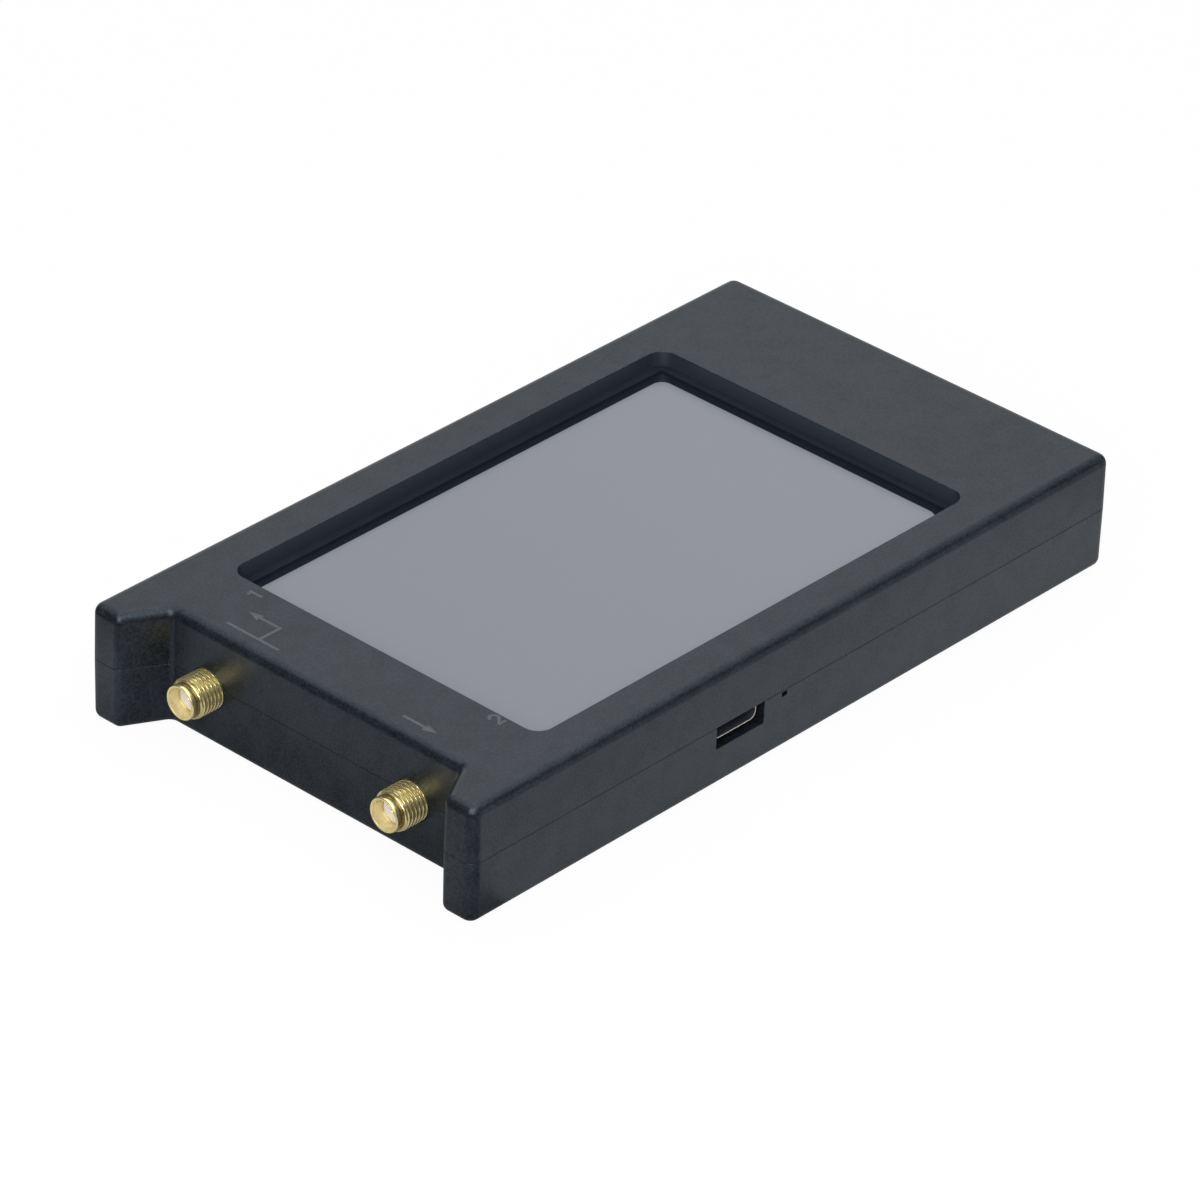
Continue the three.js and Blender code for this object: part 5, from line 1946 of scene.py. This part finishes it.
@dataclass
class BatteryPack:
    """Soft pouch with folded seams, its tape and its two insulated leads."""

    softness: float = 0.7
    tuck: float = 0.9
    corner: float = 2.4
    least_corner: float = 0.6
    rows: int = 24
    flap_length: float = 0.5
    flap_inset: float = 3.0
    flap_corner: float = 0.1
    flap_edge: float = 0.05
    seam: float = 0.35
    tape_corner: float = 2.0
    tape_edge: float = 0.08
    lead_radius: float = 0.6
    lead_sides: int = 20

    def pouch(self) -> Skin:
        """Pillow: rings of a rounded rectangle that close in towards the two faces.

        Over half a turn t from one face to the other, the height is half the thickness times sin t raised
        to the softness with its sign kept, and the ring comes in by a share of one less cos t so raised.

        Returns:
            The pouch with the flap at its end.
        """
        x_span, y_span, z_span = node_spans("battery_cell")
        middle, half = middle_of(z_span), half_of(z_span)
        turn = np.linspace(-QUARTER, QUARTER, self.rows + 1)
        height = np.sign(np.sin(turn)) * np.abs(np.sin(turn)) ** self.softness
        inset = (1 - np.cos(turn) ** self.softness) * half * self.tuck
        rings = outline(rectangle(x_span, y_span, self.corner), inset, least=self.least_corner)
        flap = slab((x_span[1] - self.flap_length, x_span[1]), grown(y_span, -self.flap_inset),
                    span(middle, self.seam), self.flap_corner, self.flap_edge)
        return loft(stacked(rings, middle + height * half)) + flap

    def lead(self, node: str) -> Skin:
        """Round lead that runs evenly along Y, and rises by a smooth step from the cell to the plug.

        Args:
            node: CAD node that it stands for.

        Returns:
            The lead.
        """
        x_span, y_span, (low, high) = node_spans(node)
        x, radius = middle_of(x_span), self.lead_radius
        path = eased((x, y_span[0], low + radius), (x, y_span[1], high - radius))
        return strand(path, circles(radius, self.lead_sides)[0], np.array([1.0, 0.0, 0.0]))

    def build(self) -> None:
        """Builds and dresses the pieces."""
        dressed("battery_pouch", self.pouch(), POUCH, ("battery_cell",))
        pad = slab(*node_spans("battery_tape"), self.tape_corner, self.tape_edge)
        dressed("battery_pad", pad, TAPE, ("battery_tape",))
        for node, finish, slot in (("battery_lead_red", RED_WIRE, "red_wire"),
                                   ("battery_lead_black", BLACK_WIRE, "black_wire")):
            dressed(f"{node}_wire", self.lead(node), finish, (node,))


# Print on the top face


@dataclass
class PortMarks:
    """Plain digits, arrows and a bracket line in grey ink by the ports."""

    ink: Span = (18.99, 19.0)
    rule: float = 0.5
    corner_reach: float = 0.3
    bar_x: float = -58.0
    bar_y: Span = (9.95, 20.2)
    stem_y: float = 13.85
    turn_x: float = -53.8
    first_tip: float = 20.0
    first_digit: Place = (-50.6, 21.45)
    second_x: float = -57.65
    second_y: Span = (-20.5, -14.0)
    second_digit: Place = (-49.8, -25.0)
    head_length: float = 2.3
    head_width: float = 1.6
    stroke: float = 0.48
    digit_height: float = 2.5
    digit_width: float = 1.4
    flag_drop: float = 0.55
    one_stem: float = 0.6
    hook: Span = (0.95, -0.2)
    hook_points: int = 20
    base_overhang: float = 0.1

    def inked(self, shape: Array) -> Skin:
        """Thin plate of ink with an outline."""
        return loft(stacked(np.stack([shape, shape]), self.ink))

    def line(self, path: list[Place] | Array, width: float) -> Skin:
        """Inked stroke along a path."""
        return self.inked(ribbon_outline(np.array(path, float), width))

    def arrow_head(self, tip: Place, way: float) -> Skin:
        """Filled arrow head along Y.

        Args:
            tip: Its point.
            way: 1 where it points to +Y, or -1.

        Returns:
            The arrow head.
        """
        x, y = tip
        back, half = y - way * self.head_length, self.head_width / 2 * way
        return self.inked(np.array([(x, y), (x - half, back), (x + half, back)]))

    def one(self, x: float, y: float) -> Skin:
        """Digit 1.

        Args:
            x: Its left side.
            y: Its foot.

        Returns:
            The digit.
        """
        stem, top = x + self.digit_width * self.one_stem, y + self.digit_height
        flag = self.line([(stem, top - self.stroke / 2), (x, top - self.flag_drop)], self.stroke)
        return self.line([(stem, y), (stem, top)], self.stroke).carved(Carve.JOIN, flag)

    def two(self, x: float, y: float) -> Skin:
        """Digit 2: an arc over the top, a diagonal and a base.

        Args:
            x: Its left side.
            y: Its foot.

        Returns:
            The digit.
        """
        radius, base_y = self.digit_width / 2, y + self.stroke / 2
        turn = np.linspace(math.pi * self.hook[0], math.pi * self.hook[1], self.hook_points)
        centre = np.array([x + radius, y + self.digit_height - radius])
        arc = centre + radius * np.stack([np.cos(turn), np.sin(turn)], axis=1)
        sweep = self.line(np.vstack([arc, [(x, base_y)]]), self.stroke)
        base = self.line([(x - self.base_overhang, base_y), (x + self.digit_width, base_y)], self.stroke)
        return base.carved(Carve.JOIN, sweep, overlapping=True)

    def build(self) -> None:
        """Builds and dresses both groups of marks."""
        (low, high), turn_x, tip = self.bar_y, self.turn_x, self.first_tip
        bar = self.line([(self.bar_x, high), (self.bar_x, low)], self.rule)
        stem = self.line([(self.bar_x, self.stem_y), (turn_x + self.corner_reach, self.stem_y)], self.rule)
        shaft = self.line([(turn_x, self.stem_y), (turn_x, tip - self.head_length / 2)], self.rule)
        bent = bar.carved(Carve.JOIN, stem, shaft, self.arrow_head((turn_x, tip), 1), overlapping=True)
        dressed("port_1_marks", bent + self.one(*self.first_digit), INK)
        x, (tip, tail) = self.second_x, self.second_y
        shaft = self.line([(x, tail), (x, tip + self.head_length / 2)], self.rule)
        plain = shaft.carved(Carve.JOIN, self.arrow_head((x, tip), -1))
        dressed("port_2_marks", plain + self.two(*self.second_digit), INK)


# CAD nodes that keep their shape

CARRIED_OVER: dict[Finish, tuple[str, ...]] = {
    GLASS: ("touch_panel",),
    PANEL: ("display_panel",),
    WHITE_PLASTIC: ("display_tray", "display_connector", "touch_connector", "battery_header", "battery_plug"),
    BOARD: ("main_board",),
    LIGHT_LENS: ("status_light",),
    BRIGHT_STEEL: ("power_switch_housing", "jog_slider", "card_socket_shell", "shield_can_1",
                   "shield_can_2", "shield_can_3", "reference_crystal"),
    DARK_PLASTIC: ("jog_switch_housing", "card_socket_base"),
    RESIN: ("mixer_1", "mixer_2", "mixer_3", "processor", "audio_codec", "clock_generator",
            "charger_chip"),
    FERRITE: ("power_inductor",),
}


def dress_carried_over() -> None:
    """Gives every CAD node that still shows its finish."""
    for finish, nodes in CARRIED_OVER.items():
        for node in nodes:
            data = frame["nodes"][node].data
            data.materials.clear()
            data.materials.append(finish.material())
            log.info("%s: kept from the CAD, %s", node, finish.name)


# Studio


@dataclass(frozen=True)
class StudioPaper:
    """Pale paper: almost white to the camera, and lit evenly as reflections see it."""

    name: str
    colour: Colour = (0.82, 0.82, 0.82)
    fibre_colour: Colour = (0.7, 0.7, 0.7)
    fibre_size: float = 4.0
    fibre_share: float = 0.1
    white_share: float = 0.955

    def glossy_level(self, graph: Graph) -> Wire | float:
        """How bright reflections see the paper."""
        return 1.0

    def material(self) -> bpy.types.Material:
        """Paper that mixes plain diffuse with white for camera, glossy and transmission rays.

        Returns:
            The material.
        """
        made = bpy.data.materials.new(self.name)
        made.use_nodes = True
        graph = Graph(made.node_tree)
        path = graph.node("ShaderNodeLightPath").socket.node
        camera, glossy, through = (Wire(graph, path.outputs[name])
                                   for name in ("Is Camera Ray", "Is Glossy Ray", "Is Transmission Ray"))
        share = (camera.at_least(through) * self.white_share).at_least(glossy)
        level = 1 - glossy * (1 - self.glossy_level(graph))
        paper = graph.blend(graph.noise(self.fibre_size) * self.fibre_share, self.colour, self.fibre_colour)
        diffuse = graph.node("ShaderNodeBsdfDiffuse", {}, {"Color": paper})
        white = graph.blend(level, BLACK, WHITE)
        glow = graph.node("ShaderNodeEmission", {}, {"Color": white, "Strength": 1.0})
        mixed = graph.node("ShaderNodeMixShader", {}, {0: share, 1: diffuse, 2: glow})
        graph.node("ShaderNodeOutputMaterial", {}, {"Surface": mixed})
        return made


@dataclass(frozen=True)
class SweepPaper(StudioPaper):
    """Sweep behind the object, a little darker towards its top."""

    rise: Span = (1150.0, 1750.0)
    foot_level: float = 0.9
    top_level: float = 0.46

    def glossy_level(self, graph: Graph) -> Wire:
        """Level that falls with the height."""
        return graph.axes()[2].step(*self.rise).between(self.foot_level, self.top_level)


@dataclass(frozen=True)
class FloorPaper(StudioPaper):
    """Floor under the object. Light from behind leaves it darker beyond the port end, and it fades away."""

    foot_x: float = 68.0
    foot_y: float = 38.0
    port_edge: Span = (-61.0, -59.0)
    port_shadow: Span = (-77.0, -66.0)
    port_levels: Span = (0.56, 0.26)
    side_run: Span = (-70.0, 70.0)
    side_levels: Span = (0.68, 0.84)
    fade: Span = (15.0, 42.0)
    port_far: float = 0.1
    side_far: float = 0.55
    far_corner: Span = (20.0, 50.0)
    corner_gain: float = 0.35
    # Painted contact shadow: the floor is darker along the foot of the long sides
    contact: Span = (36.5, 39.0)
    contact_shadow_level: float = 0.4

    def glossy_level(self, graph: Graph) -> Wire:
        """Level beside the object and beyond its ports, times a fade with the distance from its foot and a
        painted contact shadow.

        Args:
            graph: Graph of the material.

        Returns:
            The level.
        """
        x, y, _ = graph.axes()
        away_x, away_y = (abs(x) - self.foot_x).at_least(0.0), (abs(y) - self.foot_y).at_least(0.0)
        far = away_x.hypot(away_y).step(*self.fade)
        beside = x.step(*self.port_edge)
        # Painted contact shadow along the foot of the long sides
        contact = abs(y).step(*self.contact).between(self.contact_shadow_level, 1)
        side = x.step(*self.side_run).between(*self.side_levels) * (1 - far * (1 - self.side_far)) * contact
        corner = y.step(*self.far_corner) * self.corner_gain + 1
        port = x.step(*self.port_shadow).between(*self.port_levels) * (
            1 - far * (1 - self.port_far)) * corner
        return beside * side + (1 - beside) * port


@dataclass(frozen=True)
class Lamp:
    """Soft lamp: where it stands and aims, its width and height in metres, and its watts."""

    name: str
    place: Triple
    aim: Triple
    size: Pair
    power: float

    def build(self) -> None:
        """Puts the lamp in the scene."""
        data = bpy.data.lights.new(self.name, "AREA")
        data.shape = "RECTANGLE"
        data.size, data.size_y = self.size
        data.energy = self.power
        made = bpy.data.objects.new(self.name, data)
        turn = (Vector(self.aim) - Vector(self.place)).to_track_quat("-Z", "Y").to_matrix()
        made.matrix_world = Matrix.Translation(self.place) @ turn.to_4x4()
        bpy.context.scene.collection.objects.link(made)
        log.info("%s: %.1f W", self.name, self.power)


@dataclass
class Studio:
    """Paper sweep, soft lamps, dim room and the camera, in metres."""

    camera_place: Triple = (-0.669834, -0.592827, 0.561607)
    right: Triple = (0.678498, -0.733873, 0.032722)
    down: Triple = (-0.368528, -0.378578, -0.849038)
    ahead: Triple = (0.635474, 0.564011, -0.527317)
    lens: float = 217.575
    sensor: float = 36.0
    floor_reach: float = 6.0
    floor_corner: float = 0.01
    sheet: float = 0.001
    sweep_azimuth: float = 41.6
    sweep_start: float = 1.7
    sweep_radius: float = 0.5
    sweep_steps: int = 16
    sweep_height: float = 2.8
    sweep_half_width: float = 1.5
    sweep_lift: float = 0.0005
    room_grey: float = 0.1
    lamps: tuple[Lamp, ...] = (
        Lamp("top_softbox", (0.17, 0.0, 1.4), (0.17, 0.0, 0.0), (2.06, 2.4), 22.7),
        Lamp("side_strip", (0.9, -1.07, 0.17), (0.0, 0.0, 0.02), (1.6, 0.34), 1.0),
        Lamp("front_softbox", (-0.95, -0.6, 0.95), (0.0, 0.0, 0.0), (1.2, 1.2), 17.0),
    )

    def floor(self) -> Skin:
        """Wide flat sheet, in millimetres, thin and closed."""
        across = (-self.floor_reach / MM, self.floor_reach / MM)
        return slab(across, across, (-self.sheet / MM, 0.0), self.floor_corner / MM, steps=2)

    def sweep(self) -> Skin:
        """Sheet behind the object: flat, round a quarter circle, then upright.

        Returns:
            The sheet, in millimetres.
        """
        turn = np.linspace(0, QUARTER, self.sweep_steps + 1)
        r = self.sweep_radius
        bend = np.stack([self.sweep_start + r * np.sin(turn), r * (1 - np.cos(turn))], axis=1)
        line = np.vstack([[(self.sweep_start - r, 0.0)], bend, [(self.sweep_start + r, self.sweep_height)]])
        angle = math.radians(self.sweep_azimuth)
        way = np.array([math.cos(angle), math.sin(angle), 0])
        side = np.array([-math.sin(angle), math.cos(angle), 0])
        up = np.array([0, 0, 1.0])
        path = line[:, :1] * way + (line[:, 1:] + self.sweep_lift) * up
        half_width = (-self.sweep_half_width, self.sweep_half_width)
        made = strand(path, rectangle(half_width, (-self.sheet, self.sheet), 0)[:, :2], side)
        return Skin(made.points / MM, made.faces)

    def camera(self) -> None:
        """Camera at the photograph's place and angle."""
        data = bpy.data.cameras.new("camera")
        data.sensor_width = self.sensor
        data.lens = self.lens
        made = bpy.data.objects.new("camera", data)
        turn = Matrix((self.right, tuple(-part for part in self.down), tuple(-part for part in self.ahead)))
        made.matrix_world = Matrix.Translation(self.camera_place) @ turn.transposed().to_4x4()
        bpy.context.scene.collection.objects.link(made)
        bpy.context.scene.camera = made

    def room(self) -> None:
        """Dim even light from all round."""
        world = bpy.data.worlds.new("dim_room")
        world.use_nodes = True
        graph = Graph(world.node_tree)
        glow = graph.node("ShaderNodeBackground", {}, {"Color": (*WHITE, 1.0), "Strength": self.room_grey})
        graph.node("ShaderNodeOutputWorld", {}, {"Surface": glow})
        bpy.context.scene.world = world

    def build(self) -> None:
        """Puts the studio in the scene."""
        for name, skin, paper in (("studio_floor", self.floor(), FloorPaper("floor_paper")),
                                  ("studio_sweep", self.sweep(), SweepPaper("sweep_paper"))):
            made = bpy.data.objects.new(name, skin.mesh(MM))
            made.data.materials.append(paper.material())
            bpy.context.scene.collection.objects.link(made)
        self.room()
        for lamp in self.lamps:
            lamp.build()
        self.camera()
        bpy.context.scene.view_settings.view_transform = "Standard"


def main() -> None:
    """Builds the studio and every sub-assembly."""
    logging.basicConfig(level=logging.INFO, format="%(name)s: %(message)s")
    screws = [CaseScrew(number) for number in SCREWS]
    ports = [CoaxialPort(number) for number in PORTS]
    for part in (Studio(), UpperCover(), LowerCover(), *screws, *ports, ChargingSocket(), SlideKnob(),
                 RockerLever(), Screen(), BatteryPack(), PortMarks()):
        part.build()
    dress_carried_over()
    bpy.context.view_layer.update()


if __name__ == "__main__":
    main()
